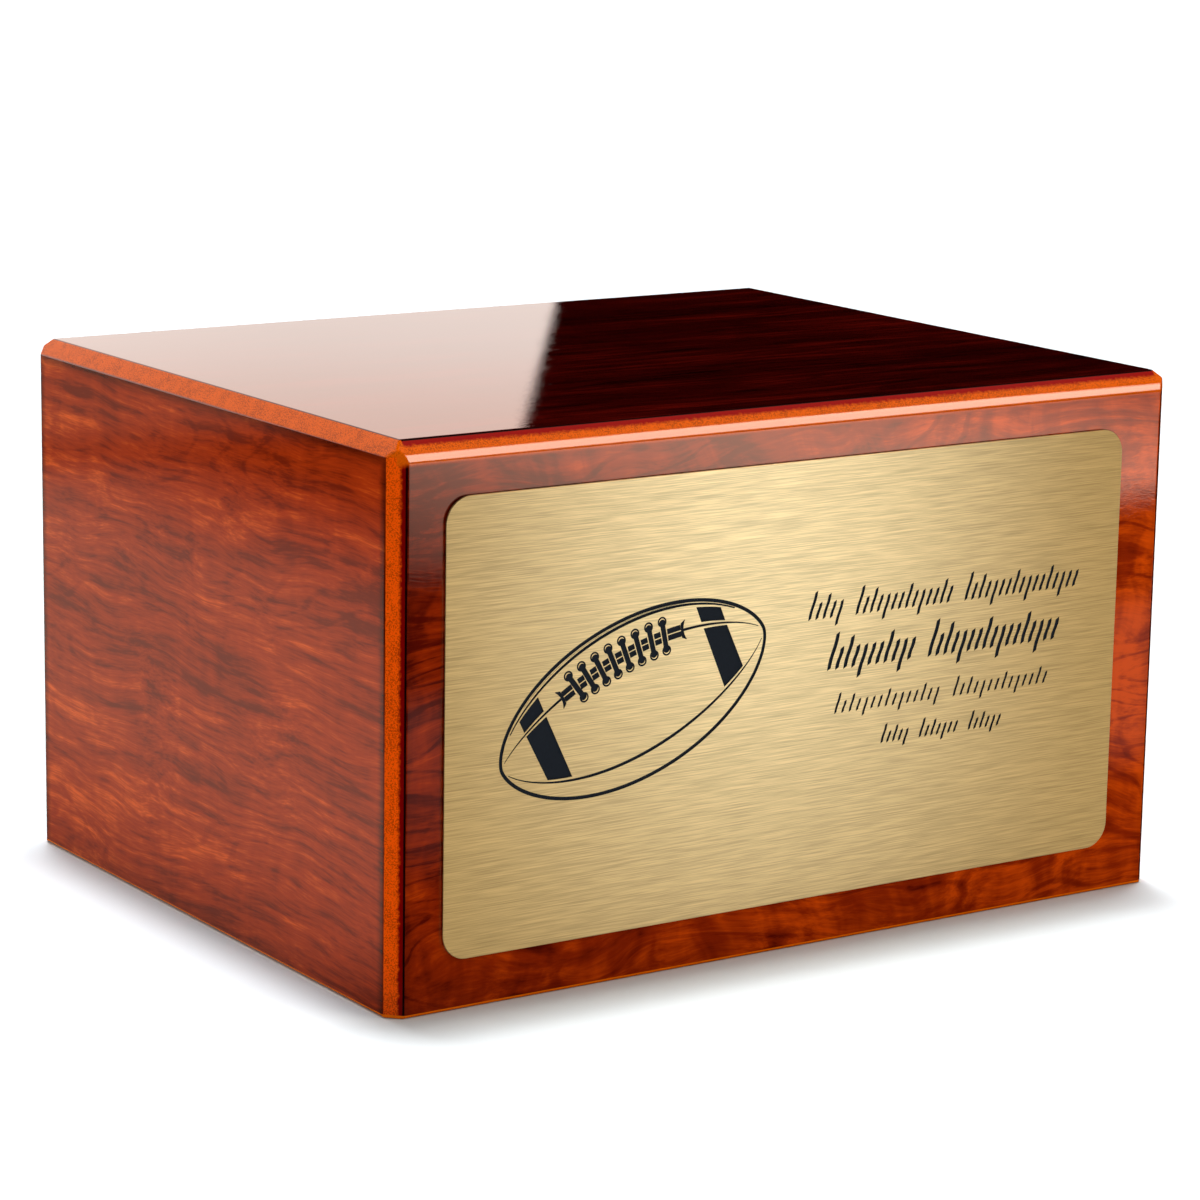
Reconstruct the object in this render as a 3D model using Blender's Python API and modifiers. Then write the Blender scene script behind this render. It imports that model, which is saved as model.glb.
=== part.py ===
"""Cremation urn box: a mitred case of stained board with an engraved brass plate.

Metres, +Z up. The case stands on the ground plane, centred on the origin, with
its front and its name plate facing -Y. The case is hollow: four walls, a top and
a bottom board that is let into a rebate and held by countersunk screws.
"""

import math

import bmesh
import bpy
from mathutils import Matrix, Vector

# Case
CASE_WIDTH = 0.230
CASE_DEPTH = 0.1825
CASE_HEIGHT = 0.1345
BOARD_THICKNESS = 0.015
EDGE_BEVEL = 0.0037
FOOT_BEVEL = 0.0008
GLUE_LINE = 0.0003

# Bottom board, in its rebate
BASE_THICKNESS = 0.009
BASE_CLEARANCE = 0.0005
BASE_ARRIS = 0.0004
LEDGE_WIDTH = 0.010

# Countersunk screws through the bottom board
SCREWS_PER_WALL = 2
SCREW_LENGTH = 0.025
SCREW_SHANK_RADIUS = 0.0015
SCREW_HEAD_RADIUS = 0.0030
SCREW_HEAD_RIM = 0.0003
SCREW_TIP = 0.0030
SCREW_SUNK = 0.0003
SCREW_CLEARANCE = 0.0003
SCREW_FROM_CORNER = 0.035
DRIVE_WIDTH = 0.0034
DRIVE_SLOT = 0.0007
DRIVE_DEPTH = 0.0011

# Name plate
PLATE_THICKNESS = 0.0006
PLATE_SIDE_MARGIN = 0.015
PLATE_TOP_MARGIN = 0.01275
PLATE_CORNER_RADIUS = 0.0064
PLATE_ARRIS = 0.0001
PLATE_LEFT_OF_CENTRE = 0.0016
PLATE_BELOW_CENTRE = 0.0006
GROOVE_DEPTH = 0.0003

# Engraved ball: its size, and its place as shares of the plate. A line of the ball is
# a share of its half width, what that gains over the length, and how it closes in
BALL_LENGTH = 0.0782
BALL_WIDTH = 0.0391
BALL_TILT = math.radians(19.0)
BALL_PLACE = (-0.2385, 0.0174)
BALL_FULLNESS = 2.03
BALL_TIP = 0.60
BALL_LINE = 0.0009
SEAM_LINE = 0.0008
SEAM_TIP_GAP = 0.0013
SEAM_TAPER = 0.72
UPPER_SEAM = (0.58, 0.08, 1.3)
LOWER_SEAM = (-0.703, 0.09, 1.2)
INNER_LINE = (0.937, 0.06, 1.08)
INNER_LINE_ENDS = (-0.0343, 0.0328)
STRIPE_AT = 0.0265
STRIPE_SHIFT = 0.0003
STRIPE_WIDTH = 0.0065
STRIPE_LEAN = 0.105
STRIPE_FAN = 0.025
STRIPE_MARGIN = 0.0008
LACE_COUNT = 8
LACE_LENGTH = 0.0097
LACE_WIDTH = 0.0014
LACE_PAD_RADIUS = 0.00128
LACE_SPACING = 0.00376
LACE_FAN = math.radians(10.0)
LACE_SHIFT = -0.0010
RAIL_WIDTH = 0.00135
RAIL_SPACING = 0.0016
RAIL_OVERHANG = 0.0043
RAIL_SHIFT = -0.0006
RAIL_END_LENGTH = 0.0048
RAIL_END_WIDTH = 0.0008

# Rows of slanted strokes: their middle as a share of the plate's width, and for
# each row its height over the plate's middle, its length, the height of its tall
# strokes, the width of a stroke, and the number of strokes in each group
ROWS_AT = 0.221
ROWS = (
    (0.0153, 0.0828, 0.0068, 0.00085, (5, 14, 17)),
    (0.0023, 0.0703, 0.0089, 0.00110, (11, 17)),
    (-0.0088, 0.0656, 0.0049, 0.00068, (15, 14)),
    (-0.0180, 0.0365, 0.0046, 0.00070, (5, 7, 6)),
)
GROUP_GAP = 1.6
STROKE_SLANT = math.radians(16.0)
STROKE_PEN_CUT = 0.6
STROKE_HEIGHTS = ((0.0, 0.58), (0.0, 0.58), (0.0, 0.86), (0.0, 0.58), (-0.30, 0.58))

# Smoothness of round outlines
ROUND_STEPS = 24
CORNER_STEPS = 6
BALL_STEPS = 28
SEAM_END_STEPS = 8
RAIL_STEPS = 10
PAD_STEPS = 6

WELD = 0.000001
CUT_THROUGH = 0.002

HALF = Vector((CASE_WIDTH / 2, CASE_DEPTH / 2))
LIP_THICKNESS = BOARD_THICKNESS - LEDGE_WIDTH
FLOOR_LEVEL = BASE_THICKNESS + GLUE_LINE
PLATE_WIDTH = CASE_WIDTH - 2 * PLATE_SIDE_MARGIN
PLATE_HEIGHT = CASE_HEIGHT - 2 * PLATE_TOP_MARGIN
PLATE_MIDDLE = Vector((-PLATE_LEFT_OF_CENTRE, 0, CASE_HEIGHT / 2 - PLATE_BELOW_CENTRE))
PLATE_BACK = -CASE_DEPTH / 2 - GLUE_LINE
PLATE_FACE = PLATE_BACK - PLATE_THICKNESS
SEAM_END = BALL_LENGTH / 2 - SEAM_TIP_GAP
RAIL_REACH = (LACE_COUNT - 1) * LACE_SPACING / 2 + RAIL_OVERHANG
UP = Vector((0, 0, 1))


def clear_scene():
    """Remove every object, so that the script can run again."""
    for old in list(bpy.data.objects):
        bpy.data.objects.remove(old)


def new_collection(name):
    """A named collection in the scene."""
    made = bpy.data.collections.new(name)
    bpy.context.scene.collection.children.link(made)
    return made


def new_material(name, colour, roughness, metallic=0.0):
    """A plain finish, with its colour as the photo gives it."""
    made = bpy.data.materials.new(name)
    made.use_nodes = True
    shader = made.node_tree.nodes["Principled BSDF"]
    shader.inputs["Base Color"].default_value = (*colour, 1.0)
    shader.inputs["Roughness"].default_value = roughness
    shader.inputs["Metallic"].default_value = metallic
    return made


def add_object(name, mesh, material, collection):
    """A mesh as a named object in a collection, with its material."""
    made = bpy.data.objects.new(name, mesh)
    collection.objects.link(made)
    if material is not None:
        mesh.materials.append(material)
    return made


def as_cutter(made):
    """Mark an object as a cutting tool that isn't part of the box."""
    made.hide_render = True
    made.display_type = "WIRE"
    return made


def cut_with(target, cutter):
    """Take the cutter's space out of the target with a live Boolean.

    The cut takes the cutter's material, where it has one.
    """
    cut = target.modifiers.new(cutter.name, "BOOLEAN")
    cut.operation = "DIFFERENCE"
    cut.solver = "EXACT"
    cut.material_mode = "TRANSFER" if cutter.data.materials else "INDEX"
    cut.object = cutter


def box_mesh(low, high):
    """A bmesh box between two corners."""
    bm = bmesh.new()
    size = high - low
    place = Matrix.Translation((low + high) / 2) @ Matrix.Diagonal((*size, 1))
    bmesh.ops.create_cube(bm, size=1, matrix=place)
    return bm


def slice_off(bm, point, outward):
    """Plane away what lies beyond a plane, and close the cut."""
    everything = bm.verts[:] + bm.edges[:] + bm.faces[:]
    bmesh.ops.bisect_plane(
        bm, geom=everything, dist=WELD, plane_co=point, plane_no=outward, clear_outer=True
    )
    rim = [edge for edge in bm.edges if edge.is_boundary]
    bmesh.ops.holes_fill(bm, edges=rim, sides=0)


def finished(bm, name, material, collection):
    """Turn a bmesh into a named object with its faces pointing out."""
    bmesh.ops.recalc_face_normals(bm, faces=bm.faces)
    mesh = bpy.data.meshes.new(name)
    bm.to_mesh(mesh)
    bm.free()
    return add_object(name, mesh, material, collection)


def wall_panel(name, axis, side, material, collection):
    """One wall: axis is 0 or 1 for X or Y, and side is -1 or 1 along it."""
    out = Vector((0, 0, 0))
    out[axis] = side
    across = Vector((0, 0, 0))
    across[1 - axis] = 1
    reach = HALF[1 - axis]
    outer = out * HALF[axis]
    inner = out * (HALF[axis] - BOARD_THICKNESS)
    ends = (outer - across * reach, inner + across * reach + UP * CASE_HEIGHT)
    low = Vector(map(min, *ends))
    high = Vector(map(max, *ends))
    bm = box_mesh(low, high)

    # Mitres and bevels at the two upright corners
    for end in (-across, across):
        corner = outer + end * reach
        mitre = (end - out).normalized()
        slice_off(bm, corner - mitre * GLUE_LINE / 2, mitre)
        slice_off(bm, corner - out * EDGE_BEVEL, (end + out).normalized())

    # Mitre and bevel under the top board, and the small bevel at the foot
    crest = outer + UP * CASE_HEIGHT
    mitre = (UP - out).normalized()
    slice_off(bm, crest - mitre * GLUE_LINE / 2, mitre)
    slice_off(bm, crest - out * EDGE_BEVEL, (UP + out).normalized())
    slice_off(bm, outer - out * FOOT_BEVEL, (out - UP).normalized())
    return finished(bm, name, material, collection)


def top_panel(material, collection):
    """The top board, mitred to the four walls and bevelled round its edge."""
    low = Vector((-HALF.x, -HALF.y, CASE_HEIGHT - BOARD_THICKNESS))
    high = Vector((HALF.x, HALF.y, CASE_HEIGHT))
    bm = box_mesh(low, high)
    for axis in (0, 1):
        for side in (-1, 1):
            out = Vector((0, 0, 0))
            out[axis] = side
            crest = out * HALF[axis] + UP * CASE_HEIGHT
            mitre = (out - UP).normalized()
            slice_off(bm, crest - mitre * GLUE_LINE / 2, mitre)
            slice_off(bm, crest - out * EDGE_BEVEL, (out + UP).normalized())
    return finished(bm, "top_panel", material, collection)


def bottom_panel(material, collection):
    """The bottom board, flush with the walls' feet, with its arris eased."""
    reach = HALF - Vector((1, 1)) * (LIP_THICKNESS + BASE_CLEARANCE)
    bm = box_mesh(Vector((-reach.x, -reach.y, 0)), Vector((reach.x, reach.y, BASE_THICKNESS)))
    foot = [edge for edge in bm.edges if all(vert.co.z < WELD for vert in edge.verts)]
    bmesh.ops.bevel(bm, geom=foot, offset=BASE_ARRIS, segments=1, affect="EDGES")
    return finished(bm, "bottom_panel", material, collection)


def rebate_cutter(collection):
    """The step round the foot of the four walls that takes the bottom board."""
    reach = HALF - Vector((1, 1)) * LIP_THICKNESS
    low = Vector((-reach.x, -reach.y, -CUT_THROUGH))
    bm = box_mesh(low, Vector((reach.x, reach.y, FLOOR_LEVEL)))
    return as_cutter(finished(bm, "rebate_cutter", None, collection))


def turned(name, profile, place, material, collection):
    """A solid of revolution about Z from (radius, height) points, top to bottom."""
    mesh = bpy.data.meshes.new(name)
    points = [(radius, 0, height) for radius, height in profile]
    mesh.from_pydata(points, [(i, i + 1) for i in range(len(points) - 1)], [])
    made = add_object(name, mesh, material, collection)
    made.location = place
    spin = made.modifiers.new("Turned", "SCREW")
    spin.steps = ROUND_STEPS
    spin.render_steps = ROUND_STEPS
    spin.use_merge_vertices = True
    spin.merge_threshold = WELD
    spin.use_smooth_shade = True
    return made


def screw_profile(grow, top, bottom, tip):
    """A countersunk screw's outline, widened by grow, between two heights."""
    shank = SCREW_SHANK_RADIUS + grow
    head = SCREW_HEAD_RADIUS + grow
    rim_top = SCREW_SUNK + SCREW_HEAD_RIM
    cone_top = rim_top + SCREW_HEAD_RADIUS - SCREW_SHANK_RADIUS
    point = [(0, top), (shank, top - tip)]
    return point + [(shank, cone_top), (head, rim_top), (head, bottom), (0, bottom)]


def screw_places():
    """Along the front and back walls, over the middle of the ledge."""
    middle = (LIP_THICKNESS + BASE_CLEARANCE + BOARD_THICKNESS) / 2
    run = CASE_WIDTH - 2 * SCREW_FROM_CORNER
    pitch = run / (SCREWS_PER_WALL - 1)
    for side in (-1, 1):
        for number in range(SCREWS_PER_WALL):
            yield side, Vector((number * pitch - run / 2, side * (HALF.y - middle), 0))


def drive_slot(name, size, screw_place, collection):
    """One arm of the cross recess in a screw's head."""
    half = size / 2
    bottom = Vector((-half.x, -half.y, -CUT_THROUGH))
    bm = box_mesh(bottom, Vector((half.x, half.y, SCREW_SUNK + DRIVE_DEPTH)))
    made = as_cutter(finished(bm, name, None, collection))
    made.location = screw_place
    return made


def fit_screws(base, walls, material, parts, cutters):
    """The screws, their holes in the bottom board and in the walls."""
    for number, (side, place) in enumerate(screw_places(), start=1):
        outline = screw_profile(0, SCREW_LENGTH + SCREW_SUNK, SCREW_SUNK, SCREW_TIP)
        screw = turned(f"bottom_screw_{number}", outline, place, material, parts)
        for label, size in (
            ("slot_a", Vector((DRIVE_WIDTH, DRIVE_SLOT))),
            ("slot_b", Vector((DRIVE_SLOT, DRIVE_WIDTH))),
        ):
            cut_with(screw, drive_slot(f"{label}_{number}", size, place, cutters))

        hole_top = SCREW_LENGTH + SCREW_SUNK + SCREW_CLEARANCE
        outline = screw_profile(SCREW_CLEARANCE, hole_top, -CUT_THROUGH, 0)
        hole = as_cutter(turned(f"screw_hole_{number}", outline, place, None, cutters))
        cut_with(base, hole)
        cut_with(walls[side], hole)


def outline_solid(name, outlines, thickness, arris, face_y, middle, material, collection):
    """A flat solid in the XZ plane from closed outlines, whose front is at face_y.

    An outline inside another is a hole in it. arris eases the edges.
    """
    curve = bpy.data.curves.new(name, "CURVE")
    curve.dimensions = "2D"
    curve.fill_mode = "BOTH"
    curve.extrude = thickness / 2 - arris
    curve.bevel_depth = arris
    curve.bevel_resolution = 0
    curve.offset = -arris
    for outline in outlines:
        spline = curve.splines.new("POLY")
        spline.points.add(len(outline) - 1)
        for point, (across, up) in zip(spline.points, outline):
            point.co = (across, up, 0, 1)
        spline.use_cyclic_u = True
    drawn = bpy.data.objects.new(name, curve)
    collection.objects.link(drawn)
    drawn.rotation_euler.x = math.radians(90)
    drawn.location = (middle.x, face_y + thickness / 2, middle.z)
    bpy.context.view_layer.update()

    mesh = bpy.data.meshes.new_from_object(
        drawn.evaluated_get(bpy.context.evaluated_depsgraph_get())
    )
    place = drawn.matrix_world.copy()
    bpy.data.objects.remove(drawn)
    bm = bmesh.new()
    bm.from_mesh(mesh)
    bmesh.ops.remove_doubles(bm, verts=bm.verts, dist=WELD)
    bm.to_mesh(mesh)
    bm.free()
    mesh.materials.clear()
    made = add_object(name, mesh, material, collection)
    made.matrix_world = place
    return made


def rounded_rectangle(width, height, radius):
    """The outline of a plate with round corners, anticlockwise."""
    outline = []
    for quarter, (side, level) in enumerate(((1, 1), (-1, 1), (-1, -1), (1, -1))):
        centre = Vector((side * (width / 2 - radius), level * (height / 2 - radius)))
        for step in range(CORNER_STEPS + 1):
            angle = math.pi / 2 * (quarter + step / CORNER_STEPS)
            outline.append(centre + radius * Vector((math.cos(angle), math.sin(angle))))
    return outline


def offset_line(points, distance, closed=False, thinning=None):
    """The line beside a line, to its left by distance, times its thinning at a point."""
    moved = []
    last = len(points) - 1
    for i, point in enumerate(points):
        before = points[i - 1] if i or closed else point
        after = points[(i + 1) % len(points)] if i < last or closed else point
        along = (after - before).normalized()
        share = thinning[i] if thinning else 1
        moved.append(point + share * distance * Vector((-along.y, along.x)))
    return moved


def ribbon(points, width, thinning=None):
    """The closed outline of a line with a width."""
    left, right = (
        offset_line(points, side * width / 2, thinning=thinning) for side in (1, -1)
    )
    return left + right[::-1]


def seam(line, start=-SEAM_END, end=SEAM_END, steps=BALL_STEPS):
    """The outline of a seam of the ball, thin towards the tips of the ball."""
    lengths = [start + (end - start) * i / steps for i in range(steps + 1)]
    thinning = [1 - SEAM_TAPER * (along / SEAM_END) ** 2 for along in lengths]
    return ribbon(seam_points(line, start, end, steps), SEAM_LINE, thinning)


def upper_seam():
    """The seam beside the laces, in two lengths that stop short of them."""
    outlines = []
    for side in (-1, 1):
        start = RAIL_SHIFT + side * (RAIL_REACH + RAIL_END_WIDTH)
        outlines.append(seam(UPPER_SEAM, start, side * SEAM_END, SEAM_END_STEPS))
    return outlines


def ball_height(along):
    """Half the ball's width at a length from its middle, as a share of the widest."""
    share = min(abs(2 * along / BALL_LENGTH), 1)
    return (1 - share**BALL_FULLNESS) ** BALL_TIP


def ball_point(along, line):
    """A point of the ball, from its length along the axis and the line that it is on."""
    share, gain, closing = line
    level = share + gain * along / BALL_LENGTH
    flat = Vector((along, level * ball_height(along) ** closing * BALL_WIDTH / 2))
    middle = Vector((BALL_PLACE[0] * PLATE_WIDTH, BALL_PLACE[1] * PLATE_HEIGHT))
    return middle + Matrix.Rotation(BALL_TILT, 2) @ flat


def seam_points(line, start, end, steps):
    """Points of a line of the ball between two lengths from its middle."""
    return [ball_point(start + (end - start) * i / steps, line) for i in range(steps + 1)]


def ball_outline():
    """The ball's rim, as two closed loops a line's width apart."""
    rim = []
    for level in (-1, 1):
        for i in range(BALL_STEPS):
            angle = math.pi * i / BALL_STEPS
            along = math.cos(angle) * level * BALL_LENGTH / 2
            rim.append(ball_point(along, (level, 0, 1)))
    return [offset_line(rim, side * BALL_LINE / 2, closed=True) for side in (-1, 1)]


def stripe(side, lower, upper):
    """One painted band across the ball, between two lines of its surface."""
    middle = side * STRIPE_AT + STRIPE_SHIFT
    margin = 2 * STRIPE_MARGIN / BALL_WIDTH / ball_height(middle)
    lean = (STRIPE_LEAN - side * STRIPE_FAN) * ball_height(middle) * BALL_WIDTH / 2
    outline = []
    for line, inset, steps in ((lower, margin, (-1, 0, 1)), (upper, -margin, (1, 0, -1))):
        share = line[0] + inset
        for step in steps:
            along = middle - lean * share + step * STRIPE_WIDTH / 2
            outline.append(ball_point(along, (share, *line[1:])))
    return outline


def seam_place(along):
    """A point on the upper seam, and the directions along the seam and up from it."""
    point = ball_point(along, UPPER_SEAM)
    run = (ball_point(along + RAIL_WIDTH, UPPER_SEAM) - point).normalized()
    return point, run, Vector((-run.y, run.x))


def lace_rails():
    """The two long laces beside the upper seam and the short bars at their ends."""
    start, end = RAIL_SHIFT - RAIL_REACH, RAIL_SHIFT + RAIL_REACH
    line = seam_points(UPPER_SEAM, start, end, RAIL_STEPS)
    outlines = []
    for side in (-1, 1):
        outlines.append(ribbon(offset_line(line, side * RAIL_SPACING / 2), RAIL_WIDTH))
    for along in (start - RAIL_END_WIDTH, end + RAIL_END_WIDTH):
        point, _, up = seam_place(along)
        ends = [point + up * side * RAIL_END_LENGTH / 2 for side in (-1, 1)]
        outlines.append(ribbon(ends, RAIL_END_WIDTH))
    return outlines


def lace(number):
    """One cross lace with a round eyelet at each end."""
    along = LACE_SHIFT + (number - (LACE_COUNT - 1) / 2) * LACE_SPACING
    middle, run, up = seam_place(along)
    lean = Matrix.Rotation(LACE_FAN * (1 - number / (LACE_COUNT - 1)) ** 2, 2)
    run, up = lean @ run, lean @ up
    open_angle = math.asin(LACE_WIDTH / 2 / LACE_PAD_RADIUS)
    outline = []
    for end in (1, -1):
        centre = middle + up * end * (LACE_LENGTH / 2 - LACE_PAD_RADIUS)
        first = -end * math.pi / 2 + open_angle
        for step in range(PAD_STEPS + 1):
            angle = first + step * (2 * math.pi - 2 * open_angle) / PAD_STEPS
            arm = run * math.cos(angle) + up * math.sin(angle)
            outline.append(centre + LACE_PAD_RADIUS * arm)
    return outline


def stroke(foot, low, high, width):
    """One slanted stroke with its ends cut as by a pen."""
    lean = math.tan(STROKE_SLANT)
    pen = width * STROKE_PEN_CUT / 2
    corners = ((-1, low - pen), (1, low + pen), (1, high + pen), (-1, high - pen))
    return [foot + Vector((side * width / 2 + lean * up, up)) for side, up in corners]


def stroke_row(level, length, tall, width, groups):
    """A row of grouped strokes: each group starts tall, the rest rise and fall."""
    gaps = GROUP_GAP * (len(groups) - 1)
    pitch = length / (sum(groups) - 1 + gaps)
    across = ROWS_AT * PLATE_WIDTH - length / 2
    outlines = []
    for group in groups:
        for number in range(group):
            low, high = STROKE_HEIGHTS[number % len(STROKE_HEIGHTS)] if number else (0, 1)
            foot = Vector((across, level))
            outlines.append(stroke(foot, low * tall, high * tall, width))
            across += pitch
        across += pitch * GROUP_GAP
    return outlines


def name_plate(brass, infill, parts, cutters):
    """The brass plate, with the ball and the rows cut into its face."""
    outline = rounded_rectangle(PLATE_WIDTH, PLATE_HEIGHT, PLATE_CORNER_RADIUS)
    plate = outline_solid(
        "name_plate", [outline], PLATE_THICKNESS, PLATE_ARRIS, PLATE_FACE, PLATE_MIDDLE,
        brass, parts,
    )
    stripes = []
    for side in (-1, 1):
        stripes.append(stripe(side, LOWER_SEAM, UPPER_SEAM))
        stripes.append(stripe(side, UPPER_SEAM, INNER_LINE))
    layers = {
        "ball_rim": ball_outline(),
        "ball_outer_seams": [seam(LOWER_SEAM), seam(INNER_LINE, *INNER_LINE_ENDS)],
        "ball_upper_seam": upper_seam(),
        "ball_stripes": stripes,
        "ball_rails": lace_rails(),
        "ball_laces": [lace(number) for number in range(LACE_COUNT)],
    }
    for number, row in enumerate(ROWS, start=1):
        layers[f"stroke_row_{number}"] = stroke_row(*row)
    for name, outlines in layers.items():
        front = PLATE_FACE - GROOVE_DEPTH
        cutter = outline_solid(
            name, outlines, 2 * GROOVE_DEPTH, 0, front, PLATE_MIDDLE, infill, cutters
        )
        cut_with(plate, as_cutter(cutter))


def build_urn_box():
    clear_scene()
    parts = new_collection("cremation_urn_box")
    cutters = new_collection("cutters")
    veneer = new_material("stained_veneer", (0.30, 0.045, 0.012), 0.12)
    side_veneer = new_material("stained_side_veneer", (0.32, 0.090, 0.032), 0.14)
    base_board = new_material("base_board", (0.22, 0.12, 0.06), 0.60)
    steel = new_material("zinc_plated_steel", (0.62, 0.60, 0.55), 0.35, 1.0)
    brass = new_material("brushed_brass", (0.70, 0.56, 0.30), 0.32, 1.0)
    infill = new_material("engraving_infill", (0.012, 0.018, 0.026), 0.50)

    walls = {}
    rebate = rebate_cutter(cutters)
    for name, axis, side, material in (
        ("front_panel", 1, -1, veneer),
        ("back_panel", 1, 1, veneer),
        ("left_side_panel", 0, -1, side_veneer),
        ("right_side_panel", 0, 1, side_veneer),
    ):
        wall = wall_panel(name, axis, side, material, parts)
        cut_with(wall, rebate)
        if axis == 1:
            walls[side] = wall
    top_panel(veneer, parts)
    base = bottom_panel(base_board, parts)
    fit_screws(base, walls, steel, parts, cutters)
    name_plate(brass, infill, parts, cutters)


build_urn_box()
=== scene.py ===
"""The finished look of a cremation urn box, laid out as a Blender add-on.

Metres, +Z up, in the frame of the packed part: the case stands on the ground
plane with its front and its name plate facing -Y. Sizes come from the packed
nodes. The panel in the 3D view's sidebar lists what each operator builds.
"""

import math

import bmesh
import bpy
from bpy.props import FloatProperty, FloatVectorProperty, IntProperty, PointerProperty
from mathutils import Matrix, Vector


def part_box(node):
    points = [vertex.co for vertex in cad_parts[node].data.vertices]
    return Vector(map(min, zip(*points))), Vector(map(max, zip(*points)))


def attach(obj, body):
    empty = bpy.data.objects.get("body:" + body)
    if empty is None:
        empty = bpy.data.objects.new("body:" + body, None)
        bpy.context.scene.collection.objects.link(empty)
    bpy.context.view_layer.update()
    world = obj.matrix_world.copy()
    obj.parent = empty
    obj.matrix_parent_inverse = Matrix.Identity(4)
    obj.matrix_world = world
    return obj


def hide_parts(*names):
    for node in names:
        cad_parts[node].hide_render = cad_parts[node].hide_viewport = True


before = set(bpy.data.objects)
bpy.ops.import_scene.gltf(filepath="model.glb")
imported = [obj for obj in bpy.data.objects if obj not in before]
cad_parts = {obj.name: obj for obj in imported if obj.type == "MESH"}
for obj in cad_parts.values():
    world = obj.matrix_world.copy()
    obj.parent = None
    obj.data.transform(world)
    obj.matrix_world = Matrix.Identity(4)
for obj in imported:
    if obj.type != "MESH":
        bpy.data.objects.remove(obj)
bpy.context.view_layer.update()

bl_info = {
    "name": "Cremation urn box",
    "version": (1, 0, 0),
    "blender": (4, 5, 0),
    "location": "3D View > Sidebar > Urn box",
    "description": "Lacquered veneered case with an engraved brass name plate",
    "category": "Object",
}

ROOT = "root"
UP = Vector((0, 0, 1))
LEFT = Vector((-1, 0, 0))
RIGHT = Vector((1, 0, 0))
FRONT = Vector((0, -1, 0))
BACK = Vector((0, 1, 0))

# Case and bottom board, from the packed nodes
CASE_LOW = Vector((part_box("left_side_panel")[0].x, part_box("front_panel")[0].y, 0))
CASE_HIGH = Vector(
    (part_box("right_side_panel")[1].x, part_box("back_panel")[1].y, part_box("top_panel")[1].z)
)
BOARD_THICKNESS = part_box("front_panel")[1].y - CASE_LOW.y
BASE_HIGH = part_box("bottom_panel")[1]
BASE_CLEARANCE = 0.0005
GLUE_LINE = 0.0003

# Screws, from the packed nodes
SCREW_NODES = [f"bottom_screw_{number}" for number in (1, 2, 3, 4)]
SCREW_BOXES = [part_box(node) for node in SCREW_NODES]
SCREW_SUNK = SCREW_BOXES[0][0].z
SCREW_TOP = SCREW_BOXES[0][1].z
SCREW_HEAD_RADIUS = (SCREW_BOXES[0][1].x - SCREW_BOXES[0][0].x) / 2
SCREW_PLACES = [(low + high) / 2 for low, high in SCREW_BOXES]
SCREW_HEAD_RIM = 0.0003
SCREW_HEAD_EASED = 0.00015
SCREW_NECK = 0.004
SCREW_TIP = 0.003
RECESS_LENGTH = 0.0034
RECESS_WIDTH = 0.00076
RECESS_DEPTH = 0.0016
RECESS_TAPER = (0.45, 0.7)
PILOT_HOLE_RADIUS = 0.0018

# Name plate, from the packed node
PLATE_LOW, PLATE_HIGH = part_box("name_plate")
PLATE_MIDDLE = (PLATE_LOW + PLATE_HIGH) / 2
PLATE_WIDTH = PLATE_HIGH.x - PLATE_LOW.x
PLATE_HEIGHT = PLATE_HIGH.z - PLATE_LOW.z
FACE_MIDDLE = Vector((PLATE_MIDDLE.x, PLATE_LOW.y, PLATE_MIDDLE.z))
PLATE_THICKNESS = PLATE_HIGH.y - PLATE_LOW.y

# Engraved ball, with the sizes of the packed plate
BALL_LENGTH = 0.0782
BALL_WIDTH = 0.0391
BALL_TILT = math.radians(19.0)
BALL_PLACE = (-0.2385, 0.0174)
BALL_FULLNESS = 2.03
BALL_TIP = 0.60
BALL_LINE = 0.0009
SEAM_LINE = 0.0008
SEAM_TIP_GAP = 0.0013
SEAM_TAPER = 0.76
UPPER_SEAM = (0.58, 0.08, 1.3)
LOWER_SEAM = (-0.703, 0.09, 1.2)
INNER_LINE = (0.937, 0.06, 1.08)
INNER_LINE_ENDS = (-0.0343, 0.0328)
HAIR_LINE = (0.967, 0.03, 1.04)
HAIR_LINE_ENDS = (-0.0290, 0.0200)
HAIR_LINE_WIDTH = 0.00011
SEAM_END = BALL_LENGTH / 2 - SEAM_TIP_GAP
STRIPE_AT = 0.0265
STRIPE_SHIFT = 0.0003
STRIPE_WIDTH = 0.0065
STRIPE_LEAN = 0.105
STRIPE_FAN = 0.025
STRIPE_MARGIN = 0.0008
LACE_LENGTH = 0.0097
LACE_WIDTH = 0.0014
LACE_KNOB_RADIUS = 0.00092
LACE_KNOB_INSET = 0.00034
EYELET_RADIUS = 0.00128
EYELET_LINE = 0.00044
LACE_SPACING = 0.00376
LACE_FAN = math.radians(10.0)
LACE_SHIFT = -0.0010
LACE_SHADOW = 0.00022
RAIL_WIDTH = 0.00135
RAIL_SPACING = 0.0016
RAIL_OVERHANG = 0.0043
RAIL_SHIFT = -0.0006
RAIL_END_LENGTH = 0.0048
RAIL_END_WIDTH = 0.0008
RAIL_END_FLARE = 0.0007

# Painted highlight: a pale band painted across the brass's colour
PAINTED_SHEEN_AT = 0.009
PAINTED_SHEEN_REACH = 0.115
PAINTED_SHEEN_LEAN = 0.05
BRUSHING_SHADE = (0.74, 1.26)

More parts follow.
